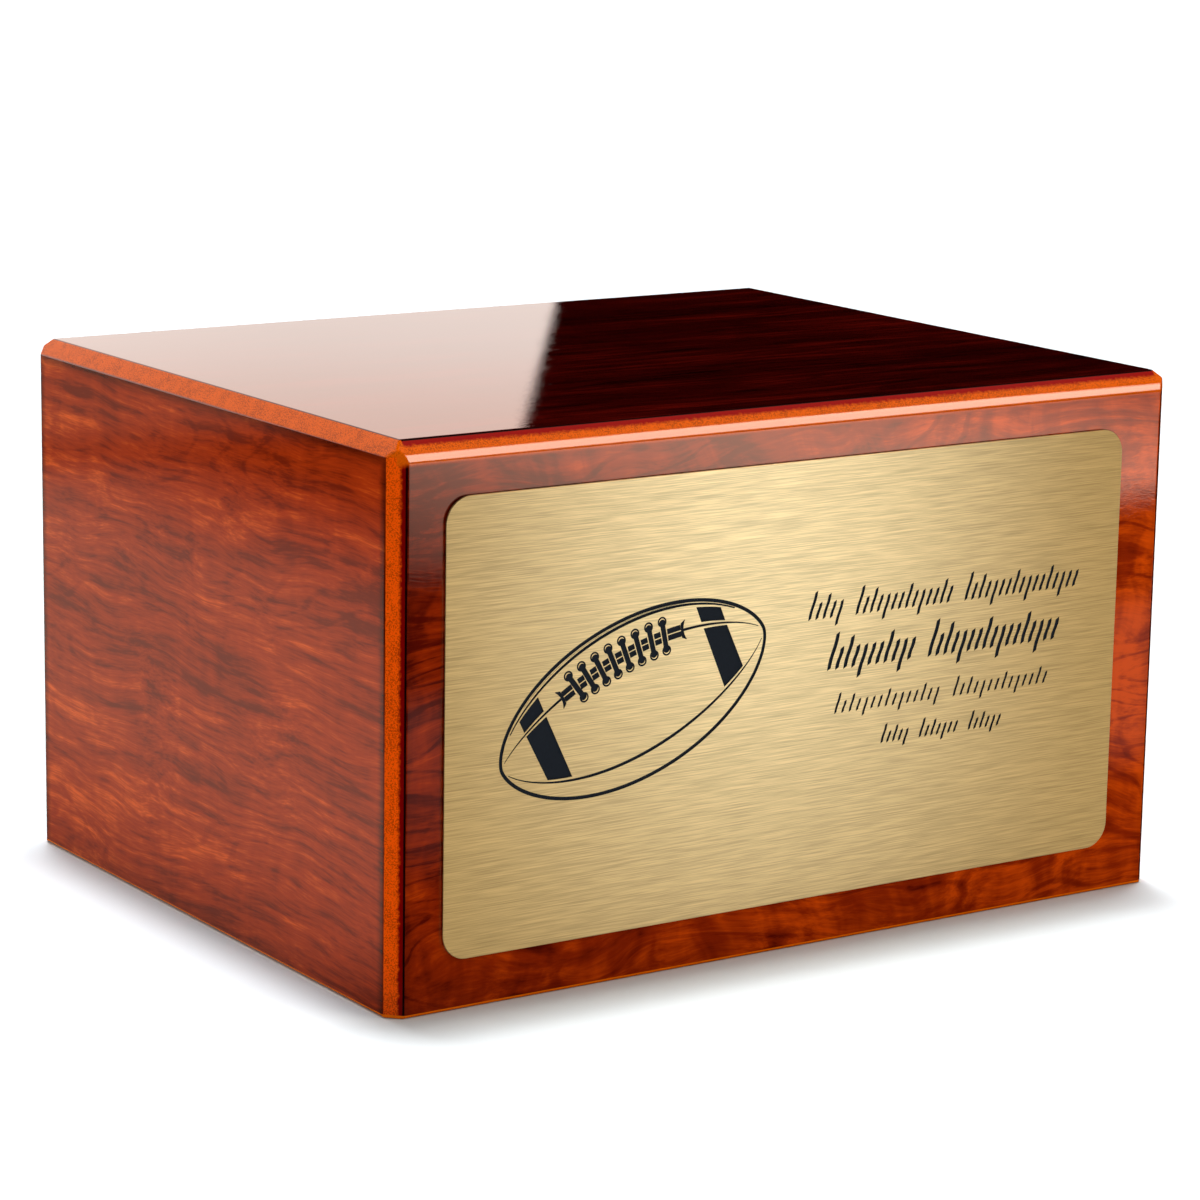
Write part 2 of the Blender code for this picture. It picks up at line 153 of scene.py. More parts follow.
# Rows of slanted strokes: height over the plate's middle, length, height of the
# tall strokes, width of a stroke, and the number of strokes in each group
ROWS_AT = 0.221
ROWS = (
    (0.0153, 0.0828, 0.0068, 0.00085, (5, 14, 17)),
    (0.0023, 0.0703, 0.0089, 0.00110, (11, 17)),
    (-0.0088, 0.0656, 0.0049, 0.00068, (15, 14)),
    (-0.0180, 0.0365, 0.0046, 0.00070, (5, 7, 6)),
)
GROUP_GAP = 1.6
STROKE_SLANT = math.radians(16.0)
STROKE_PEN_CUT = 0.6
STROKE_SHORT = 0.58
STROKE_RISING = 0.86
STROKE_FALLING = -0.30
STROKE_CYCLE = 5
STROKE_SWELL = 0.25
STROKE_SWAY = 0.16

# Smoothness of outlines
BALL_STEPS = 72
ROUND_STEPS = 20
CORNER_STEPS = 16
SEAM_STEPS = 40
STROKE_STEPS = 7
TURN_STEPS = 28
THREAD_STEPS = 6
BROW_STEPS = 5
STRIPE_STEPS = 8

WELD = 0.000001
CUT_THROUGH = 0.002
SMOOTH_ANGLE = math.radians(30)
VENEER, RAW = 0, 1

# Camera, solved from the photograph's straight edges
CAMERA_PLACE = Vector((-0.56102, -0.83844, 0.28517))
CAMERA_YAW = math.radians(33.891)
CAMERA_PITCH = math.radians(12.048)
CAMERA_ROLL = math.radians(0.9705)
PHOTO_WIDTH_PX = 1200
FOCAL_PX = 3964.72
SENSOR_MM = 36.0

# Floor, lights and the card that the top mirrors
FLOOR_REACH = 12
FLOOR_BELOW = 0.0002
OVERHEAD_TILTS = ((5.0, 5.5), (11.0, 1.8))
OVERHEAD_ANGLE = math.radians(9.6)
SOFTBOX_COLOUR = (1.0, 0.86, 0.72)
SOFTBOX_EVEN = 0.6
SOFTBOX_AIM = Vector((0, 0, 0.07))
LEFT_HIGHLIGHT = 1.5
CEILING_PLACE = Vector((0.95, -0.45, 1.6))
CEILING_SIZE = 1.2
CEILING_HIGHLIGHT = 0.25
CARD_COLOUR = (1.0, 0.71, 0.61)
CARD_FOOT_COLOUR = (1.0, 0.84, 0.77)
CARD_TURN = math.radians(33.0)
CARD_AWAY = 2.2
CARD_WIDTH = 2.6
CARD_HEIGHT = 1.5
CARD_LEAN = -0.25
CARD_EDGE_HEIGHT = 0.31
CARD_FOOT_BAND = (0.295, 0.365)
CARD_FADE_BAND = (0.45, 1.1)
CARD_GLOW = (1.70, 0.50)
CARD_EDGE_REACH = 0.4
CARD_AWAY_SHARE = 1.22

# Pale patches of the floor as the lacquer mirrors them: two corners, softness, colour
MIRRORED_PATCHES = (
    ((0.05, -1.35), (0.82, -0.49), (0.40, 0.06), (6.4, 3.8, 2.8)),
    ((-0.09, -0.385), (0.55, -0.17), (0.12, 0.05), (0.46, 0.34, 0.30)),
    ((-0.46, -0.12), (-0.05, 0.65), (0.16, 0.10), (0.60, 0.52, 0.42)),
    ((-0.62, 0.58), (-0.28, 1.15), (0.12, 0.12), (0.30, 0.26, 0.20)),
)


class UrnCaseSettings(bpy.types.PropertyGroup):
    """Sizes and colours of the lacquered case."""

    edge_bevel: FloatProperty(
        name="Edge bevel", description="Width of the flat planed off each edge, per board",
        default=0.0037, min=0.0005, max=0.006, unit="LENGTH", precision=4,
    )
    arris_round: FloatProperty(
        name="Arris rounding", description="How far the lacquered arrises are rounded",
        default=0.00045, min=0.0001, max=0.0012, unit="LENGTH", precision=5,
    )
    brow_round: FloatProperty(
        name="Brow rounding",
        description="How far the arris under the top bevel is rounded, front and back",
        default=0.0018, min=0.0005, max=0.003, unit="LENGTH", precision=4,
    )
    foot_bevel: FloatProperty(
        name="Foot bevel", description="Small bevel round the foot of the walls",
        default=0.00035, min=0.0001, max=0.002, unit="LENGTH", precision=5,
    )
    # The foot line is bare core, painted bright as painted light
    foot_line: FloatProperty(
        name="Foot line", description="Height of the bare bright line at the foot",
        default=0.0007, min=0.0001, max=0.002, unit="LENGTH", precision=5,
    )
    core_colour: FloatVectorProperty(
        name="Top bevel colour", description="Stained board core that the top bevels bare",
        default=(0.66, 0.095, 0.0012), size=3, subtype="COLOR", min=0, max=1,
    )
    # Painted light: a lighter copy of the same stained core, for the upright bevels
    upright_painted_lighter: FloatVectorProperty(
        name="Upright bevel colour", description="Stained core that the upright bevels bare",
        default=(0.86, 0.088, 0.0013), size=3, subtype="COLOR", min=0, max=1,
    )


class UrnPlateSettings(bpy.types.PropertyGroup):
    """Sizes and colours of the engraved name plate."""

    corner_radius: FloatProperty(
        name="Corner radius", description="Radius of the plate's four corners",
        default=0.0064, min=0.001, max=0.02, unit="LENGTH", precision=4,
    )
    arris: FloatProperty(
        name="Arris", description="Eased edge round the plate's face",
        default=0.0002, min=0.00005, max=0.0004, unit="LENGTH", precision=5,
    )
    groove_depth: FloatProperty(
        name="Groove depth", description="Depth of the engraving",
        default=0.0002, min=0.00005, max=0.0006, unit="LENGTH", precision=5,
    )
    lace_count: IntProperty(
        name="Laces", description="Number of cross laces on the ball", default=8, min=2, max=16,
    )
    brass_colour: FloatVectorProperty(
        name="Brass", description="Colour of the brushed brass",
        default=(0.37, 0.235, 0.085), size=3, subtype="COLOR", min=0, max=1,
    )
    # Painted highlight: the colour painted into the brass's pale band
    painted_sheen_colour: FloatVectorProperty(
        name="Sheen", description="Colour of the brass where the brushing catches the light",
        default=(0.81, 0.625, 0.345), size=3, subtype="COLOR", min=0, max=1,
    )
    infill_colour: FloatVectorProperty(
        name="Infill", description="Dark paint in the engraving",
        default=(0.0030, 0.0052, 0.0090), size=3, subtype="COLOR", min=0, max=1,
    )


class UrnScrewSettings(bpy.types.PropertyGroup):
    """Sizes and colour of the countersunk screws."""

    core_radius: FloatProperty(
        name="Core radius", description="Radius of the shank under the thread",
        default=0.0011, min=0.0005, max=0.0015, unit="LENGTH", precision=5,
    )
    thread_radius: FloatProperty(
        name="Thread radius", description="Radius over the crest of the thread",
        default=0.0015, min=0.0008, max=0.002, unit="LENGTH", precision=5,
    )
    thread_pitch: FloatProperty(
        name="Thread pitch", description="Rise of the thread in one turn",
        default=0.0013, min=0.0005, max=0.003, unit="LENGTH", precision=5,
    )
    steel_colour: FloatVectorProperty(
        name="Plating", description="Yellow zinc plating",
        default=(0.62, 0.58, 0.44), size=3, subtype="COLOR", min=0, max=1,
    )


class UrnStageSettings(bpy.types.PropertyGroup):
    """Floor and lights."""

    floor_colour: FloatVectorProperty(
        name="Floor", description="Colour of the pale floor",
        default=(0.83, 0.90, 0.945), size=3, subtype="COLOR", min=0, max=1,
    )
    overhead: FloatProperty(
        name="Overhead", description="Strength of the soft overhead light",
        default=3.5, min=0, max=20,
    )
    softbox: FloatProperty(
        name="Softboxes", description="Light from the two softboxes", default=3.0, min=0, max=50,
    )
    highlight: FloatProperty(
        name="Highlights", description="Brightness of the softboxes in the lacquer",
        default=11.0, min=0, max=50,
    )
    fill: FloatProperty(
        name="Fill", description="Strength of the even fill light", default=0.24, min=0, max=5,
    )


# Small tools for meshes


def reach(out):
    """How far the case reaches along an outward direction."""
    return max(out.dot(CASE_LOW), out.dot(CASE_HIGH))


def put(name, mesh):
    """A mesh as an object at the origin."""
    made = bpy.data.objects.new(name, mesh)
    bpy.context.scene.collection.objects.link(made)
    return made


def mesh_object(name, bm, materials):
    """Turn a bmesh into an object at the origin."""
    mesh = bpy.data.meshes.new(name)
    bm.to_mesh(mesh)
    bm.free()
    for material in materials:
        mesh.materials.append(material)
    return put(name, mesh)


def from_bmesh(name, bm, materials):
    """Turn a closed bmesh into an object at the origin, with its faces pointing out."""
    bmesh.ops.recalc_face_normals(bm, faces=bm.faces)
    return mesh_object(name, bm, materials)


def box_between(low, high):
    """A bmesh box between two corners."""
    bm = bmesh.new()
    place = Matrix.Translation((low + high) / 2) @ Matrix.Diagonal((*(high - low), 1))
    bmesh.ops.create_cube(bm, size=1, matrix=place)
    return bm


def slice_off(bm, point, outward, slot=VENEER):
    """Plane away what lies beyond a plane, and close the cut with faces of a slot."""
    everything = bm.verts[:] + bm.edges[:] + bm.faces[:]
    bmesh.ops.bisect_plane(
        bm, geom=everything, dist=WELD, plane_co=point, plane_no=outward, clear_outer=True
    )
    rim = [edge for edge in bm.edges if edge.is_boundary]
    for face in bmesh.ops.holes_fill(bm, edges=rim, sides=0)["faces"]:
        face.material_index = slot


def cut_with(target, cutter):
    """Take the cutter's space out of the target, with the cutter's finish on the cut."""
    cut = target.modifiers.new(cutter.name, "BOOLEAN")
    cut.operation = "DIFFERENCE"
    cut.solver = "EXACT"
    cut.material_mode = "TRANSFER"
    cut.object = cutter
    return cutter


def apply_modifiers(made):
    """Replace an object's mesh by what its modifiers make of it."""
    graph = bpy.context.evaluated_depsgraph_get()
    mesh = bpy.data.meshes.new_from_object(made.evaluated_get(graph))
    made.modifiers.clear()
    old = made.data
    mesh.name = made.name
    made.data = mesh
    bpy.data.meshes.remove(old)


def finish_piece(made, replaced):
    """Shade a piece, give it to the root body and let it stand for its packed nodes."""
    made.data.shade_smooth()
    made.data.set_sharp_from_angle(angle=SMOOTH_ANGLE)
    weighted = made.modifiers.new("Flat faces", "WEIGHTED_NORMAL")
    weighted.mode = "FACE_AREA"
    weighted.keep_sharp = True
    apply_modifiers(made)
    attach(made, ROOT)
    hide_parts(*replaced)


def drop(objects):
    """Remove tools that have done their work."""
    for old in objects:
        bpy.data.objects.remove(old)


def outline_mesh(name, outlines, thickness, arris=0.0, arris_steps=0):
    """A flat solid in the XZ plane from closed outlines, centred on y = 0."""
    curve = bpy.data.curves.new(name, "CURVE")
    curve.dimensions = "2D"
    curve.fill_mode = "BOTH"
    curve.extrude = thickness / 2 - arris
    curve.bevel_depth = arris
    curve.bevel_resolution = arris_steps
    curve.offset = -arris
    for outline in outlines:
        spline = curve.splines.new("POLY")
        spline.points.add(len(outline) - 1)
        for point, (across, up) in zip(spline.points, outline):
            point.co = (across, up, 0, 1)
        spline.use_cyclic_u = True
    drawn = put(name, curve)
    graph = bpy.context.evaluated_depsgraph_get()
    mesh = bpy.data.meshes.new_from_object(drawn.evaluated_get(graph))
    bpy.data.objects.remove(drawn)
    mesh.materials.clear()
    bm = bmesh.new()
    bm.from_mesh(mesh)
    bmesh.ops.remove_doubles(bm, verts=bm.verts, dist=WELD)
    bm.to_mesh(mesh)
    bm.free()
    mesh.transform(Matrix.Rotation(math.radians(90), 4, "X"))
    return mesh


# Small tools for node trees


def add(tree, kind, values=None, **settings):
    """A node with its settings, and each input as a value or a link from a socket."""
    made = tree.nodes.new(kind)
    for name, setting in settings.items():
        setattr(made, name, setting)
    for key, value in (values or {}).items():
        socket = made.inputs[key]
        if isinstance(value, bpy.types.NodeSocket):
            tree.links.new(value, socket)
        else:
            socket.default_value = value
    return made


def calc(tree, operation, *values):
    """The result of a Math node."""
    return add(tree, "ShaderNodeMath", dict(enumerate(values)), operation=operation).outputs[0]


def blend(tree, share, first, second):
    """Two colours mixed by a share."""
    values = {0: share, 6: first, 7: second}
    return add(tree, "ShaderNodeMix", values, data_type="RGBA").outputs[2]


def between(tree, share, first, second):
    """Two numbers mixed by a share."""
    values = {0: share, 2: first, 3: second}
    return add(tree, "ShaderNodeMix", values, data_type="FLOAT").outputs[0]


def ramp(tree, value, start, end, low=0.0, high=1.0):
    """A value read smoothly from one range into another."""
    values = {"Value": value, "From Min": start, "From Max": end, "To Min": low, "To Max": high}
    return add(tree, "ShaderNodeMapRange", values, interpolation_type="SMOOTHSTEP").outputs[0]


def combined(tree, operation, first, second):
    """The resulting vector of a Vector Math node."""
    values = {0: first, 1: second}
    return add(tree, "ShaderNodeVectorMath", values, operation=operation).outputs[0]


def scaled(tree, vector, share):
    """A vector or colour times a share."""
    values = {0: vector, "Scale": share}
    return add(tree, "ShaderNodeVectorMath", values, operation="SCALE").outputs[0]


def reached(tree, place, direction):
    """How far a position lies along a direction."""
    values = {0: place, 1: direction}
    return add(tree, "ShaderNodeVectorMath", values, operation="DOT_PRODUCT").outputs["Value"]


def axes(tree, vector):
    """The three axes of a vector."""
    return add(tree, "ShaderNodeSeparateXYZ", {0: vector}).outputs


def noise(tree, vector, scale, detail=2.0, distortion=0.0, output="Fac"):
    """Noise over a position in metres, with features per metre along each axis."""
    values = {
        "Vector": combined(tree, "MULTIPLY", vector, scale), "Scale": 1.0, "Detail": detail,
        "Distortion": distortion,
    }
    return add(tree, "ShaderNodeTexNoise", values).outputs[output]


def new_group(name, inputs, outputs, kind="ShaderNodeTree"):
    """A node group with named sockets: the tree, its given inputs and its results."""
    tree = bpy.data.node_groups.new(name, kind)
    for label, socket_type, *default in inputs:
        socket = tree.interface.new_socket(label, in_out="INPUT", socket_type=socket_type)
        if default:
            socket.default_value = default[0]
    for label, socket_type in outputs:
        tree.interface.new_socket(label, in_out="OUTPUT", socket_type=socket_type)
    return tree, tree.nodes.new("NodeGroupInput").outputs, tree.nodes.new("NodeGroupOutput").inputs


def shared_group(name, make):
    """A shader group, built the first time that it is asked for."""
    return bpy.data.node_groups.get(name) or make()


def placed(tree, group, values):
    """The outputs of a shader group placed in a material."""
    return add(tree, "ShaderNodeGroup", values, node_tree=group).outputs


def new_geometry_tree(name, inputs):
    """A Geometry Nodes tree that puts out one geometry."""
    outputs = (("Geometry", "NodeSocketGeometry"),)
    return new_group(name, inputs, outputs, "GeometryNodeTree")


def realized(tree, points, unit, **turned):
    """Copies of a unit on points, as real faces."""
    values = {"Points": points, "Instance": unit, **turned}
    copies = add(tree, "GeometryNodeInstanceOnPoints", values).outputs[0]
    return add(tree, "GeometryNodeRealizeInstances", {"Geometry": copies}).outputs[0]


def end_tree(tree, geometry, finish, result):
    """End a Geometry Nodes tree with a material on all faces."""
    values = {"Geometry": geometry, "Material": finish}
    tree.links.new(add(tree, "GeometryNodeSetMaterial", values).outputs[0], result["Geometry"])


def give_tree(made, tree, values):
    """Put a Geometry Nodes tree on an object and set the tree's inputs."""
    modifier = made.modifiers.new(tree.name, "NODES")
    modifier.node_group = tree
    for item in tree.interface.items_tree:
        if item.item_type == "SOCKET" and item.in_out == "INPUT" and item.name in values:
            modifier[item.identifier] = values[item.name]


def new_material(name):
    """A material with a Principled shader: its tree, the shader and the object position."""
    made = bpy.data.materials.new(name)
    made.use_nodes = True
    tree = made.node_tree
    shader = tree.nodes["Principled BSDF"]
    return made, tree, shader, add(tree, "ShaderNodeTexCoord").outputs["Object"]


def new_stage_material(name):
    """A material without a shader: its tree and the axes of the object position."""
    made, tree, shader, place = new_material(name)
    tree.nodes.remove(shader)
    return made, tree, axes(tree, place)


def surface(tree, shader):
    """Make a shader the surface of its material."""
    tree.links.new(shader, tree.nodes["Material Output"].inputs["Surface"])


def rgba(colour):
    """A colour with full alpha."""
    return (*colour, 1.0)


# Shader groups


def veneer_figure_group():
    """Grain of a stained veneer that runs along X: drift, bands, streaks, lines and curl."""
    tree, given, result = new_group(
        "Veneer figure",
        (
            ("Vector", "NodeSocketVector"),
            ("Light", "NodeSocketColor", (0.6, 0.12, 0.03, 1)),
            ("Middle", "NodeSocketColor", (0.3, 0.04, 0.01, 1)),
            ("Dark", "NodeSocketColor", (0.08, 0.01, 0.004, 1)),
            ("Drift", "NodeSocketFloat", 0.012),
            ("Curl", "NodeSocketFloat", 0.5),
            ("Bands", "NodeSocketFloat", 1.0),
            ("Streaks", "NodeSocketFloat", 1.0),
            ("Fibres", "NodeSocketFloat", 0.5),
            ("Lines", "NodeSocketFloat", 0.15),
            ("Tone", "NodeSocketFloat", 0.5),
        ),
        (("Color", "NodeSocketColor"), ("Height", "NodeSocketFloat")),
    )
    place = given["Vector"]
    drift = noise(tree, place, (15.0, 26.0, 26.0), 2.0, output="Color")
    drift = combined(tree, "SUBTRACT", drift, (0.5, 0.5, 0.5))
    drifted = combined(tree, "ADD", place, scaled(tree, drift, given["Drift"]))

    bands = noise(tree, drifted, (7.0, 80.0, 80.0), 2.0)
    streaks = noise(tree, drifted, (26.0, 480.0, 480.0), 5.0)
    fibres = noise(tree, drifted, (170.0, 2600.0, 2600.0), 3.0)
    curl = noise(tree, drifted, (85.0, 30.0, 30.0), 3.0, 0.8)
    rings = noise(tree, drifted, (6.0, 42.0, 42.0), 1.0)
    rings = calc(tree, "SINE", calc(tree, "MULTIPLY", rings, 75.0))
    rings = ramp(tree, rings, 0.75, 1.0)

    level = given["Tone"]
    for part, share in (
        (bands, given["Bands"]), (streaks, given["Streaks"]), (curl, given["Curl"]),
        (fibres, given["Fibres"]),
    ):
        level = calc(tree, "MULTIPLY_ADD", calc(tree, "SUBTRACT", part, 0.5), share, level)
    level = calc(tree, "MULTIPLY_ADD", rings, calc(tree, "MULTIPLY", given["Lines"], -1.0), level)

    colour = blend(tree, ramp(tree, level, 0.05, 0.52), given["Dark"], given["Middle"])
    colour = blend(tree, ramp(tree, level, 0.45, 1.00), colour, given["Light"])
    tree.links.new(colour, result["Color"])
    tree.links.new(calc(tree, "MULTIPLY_ADD", streaks, 0.6, fibres), result["Height"])
    return tree


def board_core_group():
    """Stained fibreboard where it is cut: fine light and dark specks."""
    tree, given, result = new_group(
        "Board core",
        (
            ("Vector", "NodeSocketVector"),
            ("Light", "NodeSocketColor", (0.7, 0.12, 0.01, 1)),
            ("Dark", "NodeSocketColor", (0.2, 0.02, 0.003, 1)),
            ("Specks", "NodeSocketFloat", 1.0),
        ),
        (("Color", "NodeSocketColor"), ("Height", "NodeSocketFloat")),
    )
    fine = noise(tree, given["Vector"], (2800.0, 2800.0, 2800.0), 2.0)
    broad = noise(tree, given["Vector"], (260.0, 260.0, 260.0), 2.0)
    level = calc(tree, "MULTIPLY_ADD", calc(tree, "SUBTRACT", broad, 0.5), 0.35, fine)
    share = calc(tree, "MULTIPLY", ramp(tree, level, 0.44, 0.66), given["Specks"])
    tree.links.new(blend(tree, share, given["Light"], given["Dark"]), result["Color"])
    tree.links.new(fine, result["Height"])
    return tree


def brushing_group():
    """Fine straight brushing along X on the front face."""
    tree, given, result = new_group(
        "Brushing", (("Vector", "NodeSocketVector"),),
        (("Shade", "NodeSocketFloat"), ("Height", "NodeSocketFloat")),
    )
    fine = noise(tree, given["Vector"], (85.0, 85.0, 4200.0), 4.0)
    broad = noise(tree, given["Vector"], (60.0, 60.0, 2600.0), 2.0)
    shade = calc(tree, "MULTIPLY_ADD", calc(tree, "SUBTRACT", broad, 0.5), 0.35, fine)
    tree.links.new(shade, result["Shade"])
    tree.links.new(fine, result["Height"])
    return tree


def edge_group():
    """Masks of the case's edges, from how deep a point lies under a board's outer face."""
    tree, given, result = new_group(
        "Veneer edge",
        (
            ("Vector", "NodeSocketVector"),
            ("Outward", "NodeSocketVector", (0, 0, 1)),
            ("Reach", "NodeSocketFloat", 0.1),
            ("Beside", "NodeSocketVector", (1, 0, 0)),
            ("Beside limit", "NodeSocketFloat", 0.1),
            ("Strip", "NodeSocketFloat", 0.001),
            ("Foot", "NodeSocketFloat", 0.0008),
        ),
        (
            ("Core", "NodeSocketFloat"), ("Strip", "NodeSocketFloat"), ("Line", "NodeSocketFloat"),
            ("Foot", "NodeSocketFloat"),
        ),
    )
    place = given["Vector"]
    depth = calc(tree, "SUBTRACT", given["Reach"], reached(tree, place, given["Outward"]))
    ragged = calc(tree, "SUBTRACT", noise(tree, place, (900.0, 900.0, 900.0), 2.0), 0.5)
    uneven = calc(tree, "MULTIPLY_ADD", ragged, 0.0010, depth)
    beside = calc(tree, "ABSOLUTE", reached(tree, place, given["Beside"]))
    beside = calc(tree, "SUBTRACT", given["Beside limit"], beside)
    here = ramp(tree, beside, 0.0, 0.0005)
    soft = calc(tree, "MULTIPLY", given["Strip"], 1.9)
    strip = calc(tree, "MULTIPLY", ramp(tree, uneven, soft, given["Strip"]), here)
    tree.links.new(ramp(tree, depth, 0.00012, 0.00022), result["Core"])
    tree.links.new(strip, result["Strip"])
    line = calc(tree, "MULTIPLY", ramp(tree, depth, 0.00005, 0.00012), here)
    line = calc(tree, "MULTIPLY", line, ramp(tree, depth, 0.00045, 0.00030))
    tree.links.new(line, result["Line"])
    foot = calc(tree, "DIVIDE", axes(tree, place)["Z"], given["Foot"])
    tree.links.new(ramp(tree, foot, 1.1, 0.9), result["Foot"])
    return tree


# Stained veneers: colours, figure, the dark stain at their bevels, painted shade across each face,
# and a darkening beside the bevels
CORE_DARK = 0.50
BROW_BAND = (0.0004, 0.0014)
RIM_REACH = 0.0034
EDGE_LINE_COLOUR = (0.008, 0.0006, 0.0006)
# Bare core at the foot, painted brighter than the core: painted light
FOOT_CORE_PAINTED_BRIGHT = (0.90, 0.17, 0.0015)
RAW_BOARD_COLOURS = ((0.30, 0.16, 0.075), (0.15, 0.075, 0.035))
BASE_BOARD_COLOURS = ((0.33, 0.18, 0.085), (0.16, 0.080, 0.038))
# shade_slope is painted shade: front and back lighter towards +X and the foot, the sides lighter
# towards +Y and the top
FRONT_VENEER = {
    "light": (0.60, 0.062, 0.0018), "middle": (0.235, 0.0165, 0.0013),
    "dark": (0.075, 0.0035, 0.0010), "drift": 0.030, "curl": 1.15, "bands": 0.6,
    "streaks": 0.9, "fibres": 0.4, "lines": 0.18, "turn": 0.0,
    "shade_slope": (1.8, 0.0, -1.2), "tone": 0.625, "bare": (0.0026, 0.0010), "rim": 0.85,
    "brow_specks": 0.25,
    "edge": (0.16, 0.0006, 0.0006), "strip": 0.0008, "beside": (UP, CASE_HIGH.z),
}
SIDE_VENEER = {
    "light": (0.88, 0.125, 0.013), "middle": (0.42, 0.036, 0.0040),
    "dark": (0.19, 0.015, 0.0028), "drift": 0.014, "curl": 0.42, "bands": 0.75,
    "streaks": 1.25, "fibres": 0.6, "lines": 0.11, "turn": math.radians(90),
    "shade_slope": (0.0, 0.8, 0.2), "tone": 0.410, "bare": (0.0002, -0.0002), "rim": 0.30,
    "brow_specks": 1.0,
    "edge": (0.16, 0.0006, 0.0006), "strip": 0.0008, "beside": (UP, 0.0),
}
TOP_VENEER = {
    "light": (0.095, 0.0030, 0.0012), "middle": (0.024, 0.0006, 0.0004),
    "dark": (0.004, 0.0002, 0.0002), "drift": 0.010, "curl": 0.2, "bands": 0.9,
    "streaks": 1.1, "fibres": 0.3, "lines": 0.10, "turn": 0.0,
    "shade_slope": (0.0, 0.0, 0.0), "tone": 0.5, "bare": (0.0012, 0.0002), "rim": 1.0,
    "brow_specks": 1.0,
    "edge": (0.24, 0.0016, 0.0006), "strip": 0.0010, "beside": (RIGHT, CASE_HIGH.x),
}
PALETTES = {
    "front": {**FRONT_VENEER, "seed": (1.3, 0.4, 2.2)},
    "back": {**FRONT_VENEER, "seed": (4.1, 3.4, 0.2)},
    "left": {**SIDE_VENEER, "seed": (0.7, 2.6, 1.1)},
    "right": {**SIDE_VENEER, "seed": (6.7, 5.6, 3.1)},
    "top": {**TOP_VENEER, "seed": (2.5, 7.1, 1.9)},
}


# Materials of the case


def lacquered_veneer(name, out, palette, settings):
    """Stained veneer under clear gloss lacquer, with the board's core at the bevels, and painted
    light and shade in its colour.
    """
    made, tree, shader, place = new_material(name)
    values = {
        "Vector": place, "Location": palette["seed"], "Rotation": (0, 0, palette["turn"]),
    }
    grain = add(tree, "ShaderNodeMapping", values).outputs[0]
    # Painted shade: the veneer's tone runs in a straight gradient across each face
    tone = reached(tree, place, palette["shade_slope"])
    figure = placed(
        tree, shared_group("Veneer figure", veneer_figure_group),
        {
            "Vector": grain, "Light": rgba(palette["light"]), "Middle": rgba(palette["middle"]),
            "Dark": rgba(palette["dark"]), "Drift": palette["drift"], "Curl": palette["curl"],
            "Bands": palette["bands"], "Streaks": palette["streaks"], "Fibres": palette["fibres"],
            "Lines": palette["lines"], "Tone": calc(tree, "ADD", tone, palette["tone"]),
        },
    )
    height = axes(tree, place)["Z"]
    brow = CASE_HIGH.z - settings.edge_bevel
    bare_below, bare_from = palette["bare"]
    under_top = ramp(tree, height, brow - bare_below, brow - bare_from)
    tones = []
    # Painted light: the upright bevels bare a lighter copy of the same core
    for share in (1.0, CORE_DARK):
        upright = rgba(Vector(settings.upright_painted_lighter) * share)
        level = rgba(Vector(settings.core_colour) * share)
        tones.append(blend(tree, under_top, upright, level))
    band = ramp(tree, height, brow + BROW_BAND[1], brow + BROW_BAND[0])
    band = calc(tree, "MULTIPLY", under_top, band)
    specks = calc(tree, "MULTIPLY_ADD", band, palette["brow_specks"] - 1.0, 1.0)
    core = placed(
        tree, shared_group("Board core", board_core_group),
        {"Vector": place, "Light": tones[0], "Dark": tones[1], "Specks": specks},
    )
    beside, limit = palette["beside"]
    edge = placed(
        tree, shared_group("Veneer edge", edge_group),
        {
            "Vector": place, "Outward": tuple(out), "Reach": reach(out),
            "Beside": tuple(beside), "Beside limit": limit - settings.edge_bevel,
            "Strip": palette["strip"], "Foot": settings.foot_line,
        },
    )
    bare, strip, line, veneer = edge["Core"], edge["Strip"], edge["Line"], figure["Color"]
    if out != UP:
        bare = calc(tree, "MAXIMUM", bare, under_top)
        strip = calc(tree, "MULTIPLY", strip, calc(tree, "SUBTRACT", 1.0, under_top))
        below = ramp(tree, height, brow - bare_from, brow - bare_below)
        line = calc(tree, "MULTIPLY", line, below)
        # The veneer is darker towards the top and upright bevels, by the palette's rim share
        across = out.cross(UP)
        aside = calc(tree, "ABSOLUTE", reached(tree, place, across))
        aside = calc(tree, "SUBTRACT", reach(across) - settings.edge_bevel, aside)
        near = calc(tree, "MINIMUM", aside, calc(tree, "SUBTRACT", brow, height))
        veneer = scaled(tree, veneer, ramp(tree, near, 0.0, RIM_REACH, palette["rim"], 1.0))
    cut_wood = blend(tree, strip, core["Color"], rgba(palette["edge"]))
    colour = blend(tree, bare, veneer, cut_wood)
    colour = blend(tree, line, colour, rgba(EDGE_LINE_COLOUR))
    # Painted light: the bare line at the foot painted bright
    colour = blend(tree, edge["Foot"], colour, rgba(FOOT_CORE_PAINTED_BRIGHT))
    tree.links.new(colour, shader.inputs["Base Color"])
    shader.inputs["Roughness"].default_value = 0.6
    shader.inputs["Specular IOR Level"].default_value = 0.0
    shader.inputs["Coat Weight"].default_value = 1.0
    shader.inputs["Coat Roughness"].default_value = 0.0
    shader.inputs["Coat IOR"].default_value = 1.5
    ripple = add(
        tree, "ShaderNodeBump",
        {"Strength": 1.0, "Distance": 0.000004, "Height": figure["Height"]},
    )
    tree.links.new(ripple.outputs[0], shader.inputs["Coat Normal"])
    return made


